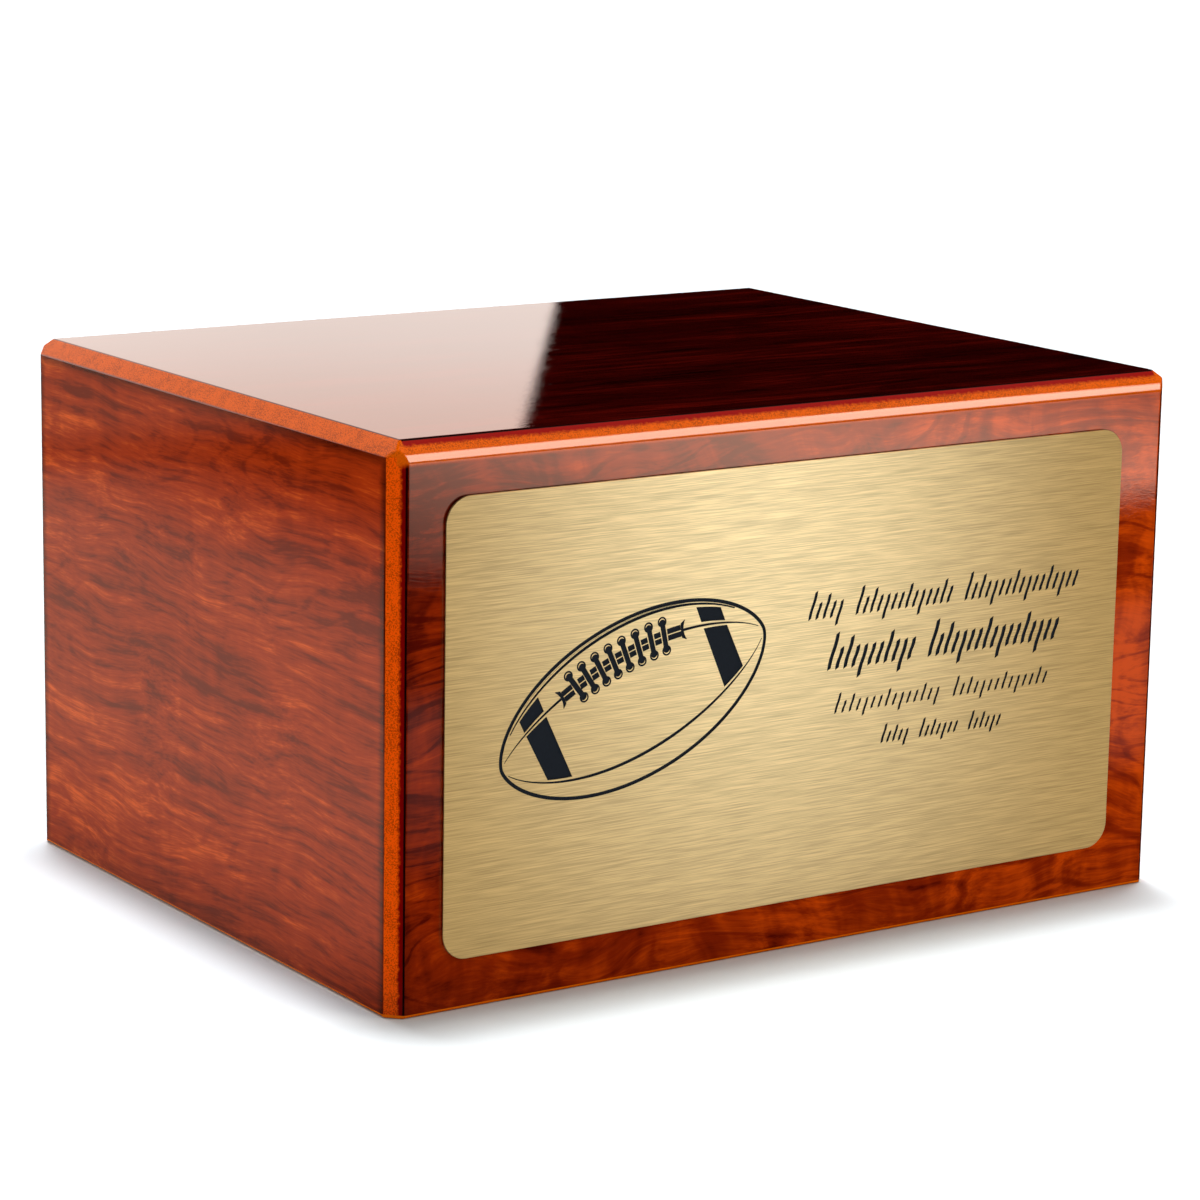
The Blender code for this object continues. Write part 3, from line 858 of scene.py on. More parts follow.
def raw_board(name, light, dark):
    """Plain cut fibreboard, matt."""
    made, tree, shader, place = new_material(name)
    core = placed(
        tree, shared_group("Board core", board_core_group),
        {"Vector": place, "Light": rgba(light), "Dark": rgba(dark), "Specks": 0.8},
    )
    bump = add(
        tree, "ShaderNodeBump", {"Strength": 0.25, "Distance": 0.0001, "Height": core["Height"]}
    )
    tree.links.new(core["Color"], shader.inputs["Base Color"])
    tree.links.new(bump.outputs[0], shader.inputs["Normal"])
    shader.inputs["Roughness"].default_value = 0.8
    return made


# The case


def planed_case(settings):
    """The outer form of the whole case: planed bevels, with their arrises rounded."""
    bm = box_between(CASE_LOW, CASE_HIGH)
    walls = (LEFT, RIGHT, FRONT, BACK)
    for one, other in (
        (LEFT, FRONT), (FRONT, RIGHT), (RIGHT, BACK), (BACK, LEFT), *((wall, UP) for wall in walls)
    ):
        corner = one * reach(one) + other * reach(other)
        slice_off(bm, corner - one * settings.edge_bevel, (one + other).normalized())
    radius = settings.brow_round / math.tan(math.radians(22.5))
    level = CASE_HIGH.z - settings.edge_bevel - settings.brow_round
    for wall in (FRONT, BACK):
        for step in range(1, BROW_STEPS + 1):
            angle = math.radians(45) * step / (BROW_STEPS + 1)
            outward = wall * math.cos(angle) + UP * math.sin(angle)
            centre = wall * (reach(wall) - radius) + UP * level
            slice_off(bm, centre + outward * radius, outward)
    arrises = [
        edge for edge in bm.edges
        if edge.calc_face_angle() > SMOOTH_ANGLE and max(vert.co.z for vert in edge.verts) > WELD
    ]
    bmesh.ops.bevel(
        bm, geom=arrises, offset=settings.arris_round, segments=4, profile=0.5, affect="EDGES",
        clamp_overlap=True,
    )
    for wall in walls:
        foot = wall * (reach(wall) - settings.foot_bevel)
        slice_off(bm, foot, (wall - UP).normalized())
    return bm


def board(name, out, neighbours, materials, settings):
    """One board of the case, mitred against its neighbours."""
    bm = planed_case(settings)
    slice_off(bm, out * (reach(out) - BOARD_THICKNESS), -out, RAW)
    for other in neighbours:
        corner = out * reach(out) + other * reach(other)
        slice_off(bm, corner, (other - out).normalized(), RAW)
    if out != UP:
        for face in bm.faces:
            if face.normal.dot(-UP) > math.cos(SMOOTH_ANGLE):
                face.material_index = RAW
    return from_bmesh(name, bm, materials)


def rebate_tool(raw):
    """The step round the foot of the walls that takes the bottom board."""
    low = Vector((-BASE_HIGH.x - BASE_CLEARANCE, -BASE_HIGH.y - BASE_CLEARANCE, -CUT_THROUGH))
    high = Vector((-low.x, -low.y, BASE_HIGH.z + GLUE_LINE))
    return from_bmesh("rebate", box_between(low, high), [raw])


def pilot_holes(raw):
    """The four screw holes in the walls."""
    bm = bmesh.new()
    for place in SCREW_PLACES:
        depth = SCREW_TOP + GLUE_LINE
        middle = Matrix.Translation((place.x, place.y, depth / 2))
        bmesh.ops.create_cone(
            bm, cap_ends=True, segments=ROUND_STEPS, radius1=PILOT_HOLE_RADIUS,
            radius2=PILOT_HOLE_RADIUS, depth=depth, matrix=middle,
        )
    return from_bmesh("pilot_holes", bm, [raw])


def build_case(settings):
    """The five lacquered boards of the case."""
    raw = raw_board("raw_board", *RAW_BOARD_COLOURS)
    rebate = rebate_tool(raw)
    holes = pilot_holes(raw)
    walls = (LEFT, RIGHT, FRONT, BACK)
    for name, out, neighbours, palette, node in (
        ("top_board", UP, walls, "top", "top_panel"),
        ("front_board", FRONT, (LEFT, RIGHT, UP), "front", "front_panel"),
        ("back_board", BACK, (LEFT, RIGHT, UP), "back", "back_panel"),
        ("left_side_board", LEFT, (FRONT, BACK, UP), "left", "left_side_panel"),
        ("right_side_board", RIGHT, (FRONT, BACK, UP), "right", "right_side_panel"),
    ):
        skin = lacquered_veneer(f"{palette}_veneer", out, PALETTES[palette], settings)
        made = board(name, out, neighbours, [skin, raw], settings)
        if out != UP:
            cut_with(made, rebate)
        if out in (FRONT, BACK):
            cut_with(made, holes)
        apply_modifiers(made)
        finish_piece(made, [node])
    drop([rebate, holes])


# Screws


def screw_radius(height, angle, settings):
    """The threaded shank's radius at a height over the head and an angle round it."""
    turn = height / settings.thread_pitch - angle / math.tau
    crest = max(0.0, 1 - abs(turn % 1 - 0.5) * 4)
    core, over = settings.core_radius, settings.thread_radius
    return core + (over - core) * crest


def screw_mesh(steel, settings):
    """A countersunk wood screw with a thread and a cross recess, its head at the bottom."""
    head_rim = SCREW_SUNK + SCREW_HEAD_RIM
    neck = head_rim + SCREW_HEAD_RADIUS - settings.thread_radius
    plain = neck + SCREW_NECK
    rings = (
        (SCREW_SUNK, SCREW_HEAD_RADIUS - SCREW_HEAD_EASED),
        (SCREW_SUNK + 0.0001, SCREW_HEAD_RADIUS), (head_rim, SCREW_HEAD_RADIUS),
        (neck, settings.thread_radius), (plain, settings.thread_radius),
    )
    bm = bmesh.new()
    loops = []
    for height, radius in rings:
        loops.append([(radius, height)] * TURN_STEPS)
    steps = int((SCREW_TOP - plain) / settings.thread_pitch * THREAD_STEPS)
    for step in range(1, steps):
        height = plain + (SCREW_TOP - plain) * step / steps
        thin = min(1.0, (SCREW_TOP - height) / SCREW_TIP)
        loop = []
        for i in range(TURN_STEPS):
            angle = math.tau * i / TURN_STEPS
            loop.append((screw_radius(height, angle, settings) * thin, height))
        loops.append(loop)
    verts = []
    for loop in loops:
        ring = []
        for i, (radius, height) in enumerate(loop):
            angle = math.tau * i / TURN_STEPS
            ring.append(bm.verts.new((radius * math.cos(angle), radius * math.sin(angle), height)))
        verts.append(ring)
    for lower, upper in zip(verts, verts[1:]):
        for i in range(TURN_STEPS):
            j = (i + 1) % TURN_STEPS
            bm.faces.new((lower[i], lower[j], upper[j], upper[i]))
    bm.faces.new(verts[0][::-1])
    point = bm.verts.new((0, 0, SCREW_TOP))
    for i in range(TURN_STEPS):
        bm.faces.new((verts[-1][i], verts[-1][(i + 1) % TURN_STEPS], point))
    screw = from_bmesh("screw", bm, [steel])
    tools = []
    high = Vector((RECESS_LENGTH / 2, RECESS_WIDTH / 2, RECESS_DEPTH))
    for turn in (0, 90):
        bm = box_between(Vector((-high.x, -high.y, -CUT_THROUGH / 2)), high)
        for vert in bm.verts:
            if vert.co.z > 0:
                vert.co.x *= RECESS_TAPER[0]
                vert.co.y *= RECESS_TAPER[1]
        bmesh.ops.rotate(bm, verts=bm.verts, matrix=Matrix.Rotation(math.radians(turn), 3, "Z"))
        tools.append(cut_with(screw, from_bmesh(f"recess_{turn}", bm, [steel])))
    apply_modifiers(screw)
    drop(tools)
    return screw


def screw_tree():
    """Geometry Nodes: one screw at each corner of a grid."""
    tree, given, result = new_geometry_tree(
        "Screw rows",
        (
            ("Screw", "NodeSocketObject"), ("Run", "NodeSocketFloat"),
            ("Span", "NodeSocketFloat"), ("Finish", "NodeSocketMaterial"),
        ),
    )
    values = {"Size X": given["Run"], "Size Y": given["Span"], "Vertices X": 2, "Vertices Y": 2}
    grid = add(tree, "GeometryNodeMeshGrid", values).outputs["Mesh"]
    screw = add(tree, "GeometryNodeObjectInfo", {"Object": given["Screw"]}).outputs["Geometry"]
    end_tree(tree, realized(tree, grid, screw), given["Finish"], result)
    return tree


def plated_steel(settings):
    """Yellow zinc plating, with tarnish and fine scratches."""
    made, tree, shader, place = new_material("zinc_plating")
    stains = ramp(tree, noise(tree, place, (900.0, 900.0, 900.0), 3.0), 0.4, 0.7)
    tone = Vector(settings.steel_colour)
    colour = blend(tree, stains, rgba(tone), rgba(tone * 0.55))
    tree.links.new(colour, shader.inputs["Base Color"])
    tree.links.new(ramp(tree, stains, 0, 1, 0.28, 0.5), shader.inputs["Roughness"])
    shader.inputs["Metallic"].default_value = 1.0
    return made


def build_screws(settings):
    """The four countersunk screws, as one piece."""
    steel = plated_steel(settings)
    screw = screw_mesh(steel, settings)
    run = max(place.x for place in SCREW_PLACES) - min(place.x for place in SCREW_PLACES)
    span = max(place.y for place in SCREW_PLACES) - min(place.y for place in SCREW_PLACES)
    made = put("bottom_screws", bpy.data.meshes.new("bottom_screws"))
    give_tree(made, screw_tree(), {"Screw": screw, "Run": run, "Span": span, "Finish": steel})
    apply_modifiers(made)
    drop([screw])
    finish_piece(made, SCREW_NODES)


# Name plate


def rounded_rectangle(width, height, radius):
    """The outline of a plate with round corners, anticlockwise."""
    outline = []
    for quarter, (side, level) in enumerate(((1, 1), (-1, 1), (-1, -1), (1, -1))):
        centre = Vector((side * (width / 2 - radius), level * (height / 2 - radius)))
        for step in range(CORNER_STEPS + 1):
            angle = math.pi / 2 * (quarter + step / CORNER_STEPS)
            outline.append(centre + radius * Vector((math.cos(angle), math.sin(angle))))
    return outline


def offset_line(points, distance, closed=False, thinning=None):
    """The line beside a line, to its left by distance, times its thinning at a point."""
    moved = []
    last = len(points) - 1
    for i, point in enumerate(points):
        before = points[i - 1] if i or closed else point
        after = points[(i + 1) % len(points)] if i < last or closed else point
        along = (after - before).normalized()
        share = thinning[i] if thinning else 1
        moved.append(point + share * distance * Vector((-along.y, along.x)))
    return moved


def ribbon(points, width, thinning=None):
    """The closed outline of a line with a width."""
    left, right = (
        offset_line(points, side * width / 2, thinning=thinning) for side in (1, -1)
    )
    return left + right[::-1]


def ball_height(along):
    """Half the ball's width at a length from its middle, as a share of the widest."""
    share = min(abs(2 * along / BALL_LENGTH), 1)
    return (1 - share**BALL_FULLNESS) ** BALL_TIP


def ball_point(along, line):
    """A point of the ball, from its length along the axis and the line that it is on."""
    share, gain, closing = line
    level = share + gain * along / BALL_LENGTH
    flat = Vector((along, level * ball_height(along) ** closing * BALL_WIDTH / 2))
    middle = Vector((BALL_PLACE[0] * PLATE_WIDTH, BALL_PLACE[1] * PLATE_HEIGHT))
    return middle + Matrix.Rotation(BALL_TILT, 2) @ flat


def seam_points(line, start, end, steps=SEAM_STEPS):
    """Points of a line of the ball between two lengths from its middle."""
    return [ball_point(start + (end - start) * i / steps, line) for i in range(steps + 1)]


def ball_outline():
    """The ball's rim, as two closed loops a line's width apart."""
    rim = []
    for level in (-1, 1):
        for i in range(BALL_STEPS):
            angle = math.pi * i / BALL_STEPS
            along = math.cos(angle) * level * BALL_LENGTH / 2
            rim.append(ball_point(along, (level, 0, 1)))
    return [offset_line(rim, side * BALL_LINE / 2, closed=True) for side in (-1, 1)]


def stripe(side, lower, upper):
    """One painted band across the ball, between two lines of its surface."""
    middle = side * STRIPE_AT + STRIPE_SHIFT
    margin = 2 * STRIPE_MARGIN / BALL_WIDTH / ball_height(middle)
    lean = (STRIPE_LEAN - side * STRIPE_FAN) * ball_height(middle) * BALL_WIDTH / 2
    outline = []
    for line, inset, way in ((lower, margin, 1), (upper, -margin, -1)):
        share = line[0] + inset
        for step in range(STRIPE_STEPS + 1):
            across = way * (step / STRIPE_STEPS - 0.5) * STRIPE_WIDTH
            along = middle - lean * share + across
            outline.append(ball_point(along, (share, *line[1:])))
    return outline


def circle(centre, radius):
    """Points round a circle, anticlockwise."""
    angles = [math.tau * step / ROUND_STEPS for step in range(ROUND_STEPS)]
    return [centre + radius * Vector((math.cos(a), math.sin(a))) for a in angles]


def lace_bar():
    """One cross lace upright about the origin, with a round knob at each end."""
    open_angle = math.asin(LACE_WIDTH / 2 / LACE_KNOB_RADIUS)
    outline = []
    for end in (1, -1):
        centre = Vector((0, end * (LACE_LENGTH / 2 - EYELET_RADIUS - LACE_KNOB_INSET)))
        first = -end * math.pi / 2 + open_angle
        for step in range(ROUND_STEPS + 1):
            angle = first + step * (2 * math.pi - 2 * open_angle) / ROUND_STEPS
            outline.append(
                centre + LACE_KNOB_RADIUS * Vector((math.cos(angle), math.sin(angle)))
            )
    return [outline]


def eyelets():
    """The ring at each end of a lace."""
    outlines = []
    for end in (1, -1):
        centre = Vector((0, end * (LACE_LENGTH / 2 - EYELET_RADIUS)))
        outlines.append(circle(centre, EYELET_RADIUS))
        outlines.append(circle(centre, EYELET_RADIUS - EYELET_LINE)[::-1])
    return outlines


def rail_blocks():
    """The two lengths of rail that show between one lace and the next."""
    half = (LACE_SPACING - LACE_WIDTH) / 2 - LACE_SHADOW
    outlines = []
    for side in (1, -1):
        low = side * RAIL_SPACING / 2 - RAIL_WIDTH / 2
        high = low + RAIL_WIDTH
        corners = ((-half, low), (half, low), (half, high), (-half, high))
        outlines.append([Vector(corner) for corner in corners])
    return outlines


def rail_ends(count):
    """The rails outside the laces, and the flared bar across each end."""
    half_run = (count - 1) * LACE_SPACING / 2
    outlines = []
    for side in (-1, 1):
        start = LACE_SHIFT + side * (half_run + LACE_WIDTH / 2 + LACE_SHADOW)
        end = RAIL_SHIFT + side * (half_run + RAIL_OVERHANG)
        line = seam_points(UPPER_SEAM, start, end, 6)
        for rail in (-1, 1):
            outlines.append(ribbon(offset_line(line, rail * RAIL_SPACING / 2), RAIL_WIDTH))
        point = ball_point(end, UPPER_SEAM)
        run = (ball_point(end + RAIL_WIDTH, UPPER_SEAM) - point).normalized() * side
        up = Vector((-run.y, run.x))
        outer, inner = [], []
        for step in range(9):
            share = step / 4 - 1
            width = RAIL_END_WIDTH + RAIL_END_FLARE * share**2
            level = up * share * RAIL_END_LENGTH / 2
            outer.append(point + level + run * width)
            inner.append(point + level + run * width * 0.85 * share**6)
        outlines.append(outer + inner[::-1])
    return outlines


def upper_seam(count):
    """The seam beside the laces, in two lengths that stop short of them."""
    half_run = (count - 1) * LACE_SPACING / 2
    outlines = []
    for side in (-1, 1):
        start = RAIL_SHIFT + side * (half_run + RAIL_OVERHANG + RAIL_END_WIDTH / 2)
        outlines.append(seam(UPPER_SEAM, start, side * SEAM_END))
    return outlines


def seam(line, start, end, width=SEAM_LINE):
    """The outline of a seam, thin towards the tips of the ball."""
    lengths = [start + (end - start) * i / SEAM_STEPS for i in range(SEAM_STEPS + 1)]
    thinning = [1 - SEAM_TAPER * (along / SEAM_END) ** 2 for along in lengths]
    return ribbon(seam_points(line, start, end), width, thinning)


def along_seam_tree():
    """Geometry Nodes: copies of a unit along a path in the plate's plane."""
    tree, given, result = new_geometry_tree(
        "Along the seam",
        (
            ("Path", "NodeSocketGeometry"), ("Unit", "NodeSocketObject"),
            ("Count", "NodeSocketInt"), ("Fan", "NodeSocketFloat"),
            ("Finish", "NodeSocketMaterial"),
        ),
    )
    values = {"Curve": given["Path"], "Count": given["Count"]}
    spots = add(tree, "GeometryNodeCurveToPoints", values, mode="COUNT")
    turned = add(
        tree, "FunctionNodeAlignRotationToVector", {"Vector": spots.outputs["Tangent"]},
        axis="X", pivot_axis="Y",
    )
    number = add(tree, "GeometryNodeInputIndex").outputs[0]
    last = calc(tree, "SUBTRACT", given["Count"], 1.0)
    share = calc(tree, "SUBTRACT", 1.0, calc(tree, "DIVIDE", number, last))
    fan = calc(tree, "MULTIPLY", given["Fan"], calc(tree, "POWER", share, 2.0))
    lean = add(tree, "ShaderNodeCombineXYZ", {"Y": calc(tree, "MULTIPLY", fan, -1.0)}).outputs[0]
    fanned = add(
        tree, "FunctionNodeRotateRotation", {0: turned.outputs[0], 1: lean}, rotation_space="LOCAL"
    )
    unit = add(tree, "GeometryNodeObjectInfo", {"Object": given["Unit"]}).outputs["Geometry"]
    solid = realized(tree, spots.outputs["Points"], unit, Rotation=fanned.outputs[0])
    end_tree(tree, solid, given["Finish"], result)
    return tree


def seam_path(name, start, end):
    """A curve along the upper seam on the plate's face."""
    curve = bpy.data.curves.new(name, "CURVE")
    curve.dimensions = "3D"
    spline = curve.splines.new("POLY")
    points = seam_points(UPPER_SEAM, start, end)
    spline.points.add(len(points) - 1)
    for knot, point in zip(spline.points, points):
        knot.co = (*(FACE_MIDDLE + Vector((point.x, 0, point.y))), 1)
    return put(name, curve)


def copies_on_seam(name, outlines, start, end, fan, count, tree, infill, depth):
    """A cutter made of copies of a unit along the upper seam, the first ones fanned out."""
    unit = put(f"{name}_unit", outline_mesh(f"{name}_unit", outlines, 2 * depth))
    path = seam_path(f"{name}_path", start, end)
    give_tree(path, tree, {"Unit": unit, "Count": count, "Fan": fan, "Finish": infill})
    graph = bpy.context.evaluated_depsgraph_get()
    made = put(name, bpy.data.meshes.new_from_object(path.evaluated_get(graph)))
    drop([unit, path])
    return made


def stroke_row_tree():
    """Geometry Nodes: a row of slanted strokes in up to three groups."""
    tree, given, result = new_geometry_tree(
        "Stroke row",
        (
            ("Strokes", "NodeSocketInt"), ("First group", "NodeSocketInt"),
            ("Second group", "NodeSocketInt"), ("Pitch", "NodeSocketFloat"),
            ("Gap", "NodeSocketFloat"), ("Tall", "NodeSocketFloat"),
            ("Width", "NodeSocketFloat"), ("Lean", "NodeSocketFloat"),
            ("Pen cut", "NodeSocketFloat"), ("Depth", "NodeSocketFloat"),
            ("Start", "NodeSocketVector"), ("Finish", "NodeSocketMaterial"),
        ),
    )

    def stored(geometry, label, value, kind="FLOAT"):
        """Geometry with a value kept on its points."""
        values = {"Geometry": geometry, "Name": label, "Value": value}
        return add(tree, "GeometryNodeStoreNamedAttribute", values, data_type=kind).outputs[0]

    def recalled(label, kind="FLOAT"):
        """A value kept on the points."""
        values = {"Name": label}
        return add(tree, "GeometryNodeInputNamedAttribute", values, data_type=kind).outputs[0]

    index = add(tree, "GeometryNodeInputIndex").outputs[0]
    both = calc(tree, "ADD", given["First group"], given["Second group"])
    after_first = calc(tree, "SUBTRACT", given["First group"], 0.5)
    in_second = calc(tree, "GREATER_THAN", index, after_first)
    in_third = calc(tree, "GREATER_THAN", index, calc(tree, "SUBTRACT", both, 0.5))
    gaps = calc(tree, "MULTIPLY", calc(tree, "ADD", in_second, in_third), given["Gap"])
    foot = calc(tree, "MULTIPLY", calc(tree, "ADD", index, gaps), given["Pitch"])
    start = calc(tree, "MULTIPLY", in_second, given["First group"])
    start = calc(tree, "MULTIPLY_ADD", in_third, given["Second group"], start)
    number = calc(tree, "SUBTRACT", index, start)
    phase = calc(tree, "MODULO", number, float(STROKE_CYCLE))
    rising = calc(tree, "COMPARE", phase, 2.0)
    falling = calc(tree, "COMPARE", phase, 4.0)
    leading = calc(tree, "LESS_THAN", number, 0.5)
    high = calc(tree, "MULTIPLY_ADD", rising, STROKE_RISING - STROKE_SHORT, STROKE_SHORT)
    high = calc(tree, "MULTIPLY_ADD", leading, 1 - STROKE_SHORT, high)
    low = calc(tree, "MULTIPLY", falling, STROKE_FALLING)

    line = add(tree, "GeometryNodeMeshLine", {"Count": given["Strokes"], "Offset": (0, 0, 0)})
    points = line.outputs[0]
    for label, value in (("foot", foot), ("low", low), ("high", high)):
        points = stored(points, label, value)
    values = {"Size": (1, 1, 1), "Vertices Z": STROKE_STEPS}
    bar = add(tree, "GeometryNodeMeshCube", values).outputs[0]
    bar = stored(bar, "corner", add(tree, "GeometryNodeInputPosition").outputs[0], "FLOAT_VECTOR")
    solid = realized(tree, points, bar)

    corner = axes(tree, recalled("corner", "FLOAT_VECTOR"))
    share = calc(tree, "ADD", corner["Z"], 0.5)
    length = calc(tree, "SUBTRACT", recalled("high"), recalled("low"))
    up = calc(tree, "MULTIPLY_ADD", length, share, recalled("low"))
    up = calc(tree, "MULTIPLY", up, given["Tall"])
    pen = calc(tree, "MULTIPLY", given["Width"], given["Pen cut"])
    up = calc(tree, "MULTIPLY_ADD", corner["X"], pen, up)
    swell = calc(tree, "SINE", calc(tree, "MULTIPLY", share, math.pi))
    swell = calc(tree, "MULTIPLY_ADD", swell, STROKE_SWELL, 0.85)
    across = calc(tree, "MULTIPLY", calc(tree, "MULTIPLY", corner["X"], given["Width"]), swell)
    sway = calc(tree, "SINE", calc(tree, "MULTIPLY", share, math.tau))
    sway = calc(tree, "MULTIPLY", sway, calc(tree, "MULTIPLY", given["Width"], -STROKE_SWAY))
    across = calc(tree, "ADD", calc(tree, "ADD", across, sway), recalled("foot"))
    across = calc(tree, "MULTIPLY_ADD", given["Lean"], up, across)
    deep = calc(tree, "MULTIPLY", corner["Y"], calc(tree, "MULTIPLY", given["Depth"], 2.0))
    place = add(tree, "ShaderNodeCombineXYZ", {"X": across, "Y": deep, "Z": up}).outputs[0]
    values = {"Geometry": solid, "Position": combined(tree, "ADD", place, given["Start"])}
    moved = add(tree, "GeometryNodeSetPosition", values).outputs[0]
    end_tree(tree, moved, given["Finish"], result)
    return tree


def stroke_row(name, row, tree, infill, depth):
    """A cutter for one row of strokes."""
    level, length, tall, width, groups = row
    pitch = length / (sum(groups) - 1 + GROUP_GAP * (len(groups) - 1))
    start = FACE_MIDDLE + Vector((ROWS_AT * PLATE_WIDTH - length / 2, 0, level))
    made = put(name, bpy.data.meshes.new(name))
    values = {
        "Strokes": sum(groups), "First group": groups[0], "Second group": groups[1],
        "Pitch": pitch, "Gap": GROUP_GAP, "Tall": tall, "Width": width,
        "Lean": math.tan(STROKE_SLANT), "Pen cut": STROKE_PEN_CUT, "Depth": depth,
        "Start": start, "Finish": infill,
    }
    give_tree(made, tree, values)
    apply_modifiers(made)
    return made


def brushed_brass(settings):
    """Brass brushed along its length, with a painted highlight: a soft pale band painted into its
    colour.
    """
    made, tree, shader, place = new_material("brushed_brass")
    brush = placed(tree, shared_group("Brushing", brushing_group), {"Vector": place})
    # Painted highlight: a pale band across the plate, fading towards its foot, painted into the
    # base colour
    sides = axes(tree, place)
    across = calc(tree, "MULTIPLY_ADD", sides["Z"], PAINTED_SHEEN_LEAN, sides["X"])
    across = calc(tree, "ABSOLUTE", calc(tree, "ADD", across, PAINTED_SHEEN_AT))
    band = ramp(tree, across, PAINTED_SHEEN_REACH, 0.0)
    height = ramp(tree, sides["Z"], PLATE_LOW.z - 0.02, PLATE_HIGH.z, 0.30, 1.0)
    painted_sheen = calc(tree, "MULTIPLY", band, height)
    tone = Vector(settings.brass_colour)
    pale = Vector(settings.painted_sheen_colour)
    colour = blend(tree, painted_sheen, rgba(tone), rgba(pale))
    shade = ramp(tree, brush["Shade"], 0.22, 0.78, *BRUSHING_SHADE)
    tree.links.new(scaled(tree, colour, shade), shader.inputs["Base Color"])
    tree.links.new(ramp(tree, brush["Shade"], 0.2, 0.8, 0.36, 0.46), shader.inputs["Roughness"])
    bump = add(
        tree, "ShaderNodeBump",
        {"Strength": 0.25, "Distance": 0.00002, "Height": brush["Height"]},
    )
    tree.links.new(bump.outputs[0], shader.inputs["Normal"])
    shader.inputs["Metallic"].default_value = 1.0
    return made


def engraving_paint(settings):
    """Matt dark paint rubbed into the engraving."""
    made, tree, shader, place = new_material("engraving_paint")
    tone = Vector(settings.infill_colour)
    share = noise(tree, place, (1500.0, 1500.0, 1500.0), 2.0)
    colour = blend(tree, share, rgba(tone), rgba(tone * 1.6))
    tree.links.new(colour, shader.inputs["Base Color"])
    shader.inputs["Roughness"].default_value = 0.6
    shader.inputs["Specular IOR Level"].default_value = 0.1
    return made


def build_plate(settings):
    """The brass plate with the ball and the rows engraved in its face."""
    brass = brushed_brass(settings)
    infill = engraving_paint(settings)
    depth = settings.groove_depth
    outline = rounded_rectangle(PLATE_WIDTH, PLATE_HEIGHT, settings.corner_radius)
    mesh = outline_mesh(
        "engraved_name_plate", [outline], PLATE_THICKNESS, settings.arris, arris_steps=2
    )
    mesh.transform(Matrix.Translation(PLATE_MIDDLE))
    mesh.materials.append(brass)
    plate = put("engraved_name_plate", mesh)

    stripes = []
    for side in (-1, 1):
        stripes.append(stripe(side, LOWER_SEAM, UPPER_SEAM))
        stripes.append(stripe(side, UPPER_SEAM, INNER_LINE))
    count = settings.lace_count
    layers = {
        "ball_rim": ball_outline(),
        "ball_seams": [
            seam(LOWER_SEAM, -SEAM_END, SEAM_END),
            seam(INNER_LINE, *INNER_LINE_ENDS),
            seam(HAIR_LINE, *HAIR_LINE_ENDS, HAIR_LINE_WIDTH),
        ],
        "ball_upper_seam": upper_seam(count),
        "ball_stripes": stripes,
        "rail_ends": rail_ends(count),
    }
    tools = []
    for name, outlines in layers.items():
        groups = [[line] for line in outlines] if name == "rail_ends" else [outlines]
        for number, group in enumerate(groups):
            mesh = outline_mesh(f"{name}_{number}", group, 2 * depth)
            mesh.transform(Matrix.Translation(FACE_MIDDLE))
            mesh.materials.append(infill)
            tools.append(put(f"{name}_{number}", mesh))

    tree = along_seam_tree()
    half_run = (count - 1) * LACE_SPACING / 2
    ends = (LACE_SHIFT - half_run, LACE_SHIFT + half_run)
    for name, outlines in (("lace_bars", lace_bar()), ("lace_eyelets", eyelets())):
        tools.append(
            copies_on_seam(name, outlines, *ends, LACE_FAN, count, tree, infill, depth)
        )
    ends = (ends[0] + LACE_SPACING / 2, ends[1] - LACE_SPACING / 2)
    tools.append(
        copies_on_seam("rail_blocks", rail_blocks(), *ends, 0.0, count - 1, tree, infill, depth)
    )
    tree = stroke_row_tree()
    for number, row in enumerate(ROWS, start=1):
        tools.append(stroke_row(f"stroke_row_{number}", row, tree, infill, depth))
    for tool in tools:
        cut_with(plate, tool)
    apply_modifiers(plate)
    drop(tools)
    finish_piece(plate, ["name_plate"])


# Bottom board


def finish_base():
    """Plain brown fibreboard on the packed bottom board."""
    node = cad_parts["bottom_panel"]
    node.data.materials.clear()
    node.data.materials.append(raw_board("base_board", *BASE_BOARD_COLOURS))


# Stage


def stage_sheet(name, place, facing, width, height, material, shear=0.0):
    """A sheet of the studio that no camera sees, with upright sides that can lean."""
    bm = bmesh.new()
    bmesh.ops.create_grid(bm, x_segments=1, y_segments=1, size=0.5)
    for vert in bm.verts:
        up = vert.co.y * height
        vert.co = (vert.co.x * width + up * shear, up, 0)
    made = mesh_object(name, bm, [material])
    made.rotation_mode = "QUATERNION"
    made.rotation_quaternion = facing.to_track_quat("Z", "Y")
    made.location = place
    made.visible_camera = False
    return made


def only_mirrored(sheet):
    """Let a sheet show in the lacquer, and neither light the set nor shade it."""
    sheet.visible_diffuse = False
    sheet.visible_shadow = False


def light_material(name, colour, strength):
    """Light of a colour and a strength, each given by a function of the sheet's sides."""
    made, tree, sides = new_stage_material(name)
    ray = add(tree, "ShaderNodeLightPath").outputs
    values = {"Color": colour(tree, sides), "Strength": strength(tree, sides, ray)}
    surface(tree, add(tree, "ShaderNodeEmission", values).outputs[0])
    return made


def softbox_glow(name, width, height, lit, mirrored):
    """A softbox's light, brighter where the lacquer mirrors it, soft at its edges."""

    def strength(tree, sides, ray):
        level = between(tree, ray["Is Singular Ray"], lit, mirrored)
        for side, half in (("X", width / 2), ("Y", height / 2)):
            gap = calc(tree, "ABSOLUTE", sides[side])
            level = calc(tree, "MULTIPLY", level, ramp(tree, gap, half, half * SOFTBOX_EVEN))
        return level

    return light_material(name, lambda tree, sides: rgba(SOFTBOX_COLOUR), strength)


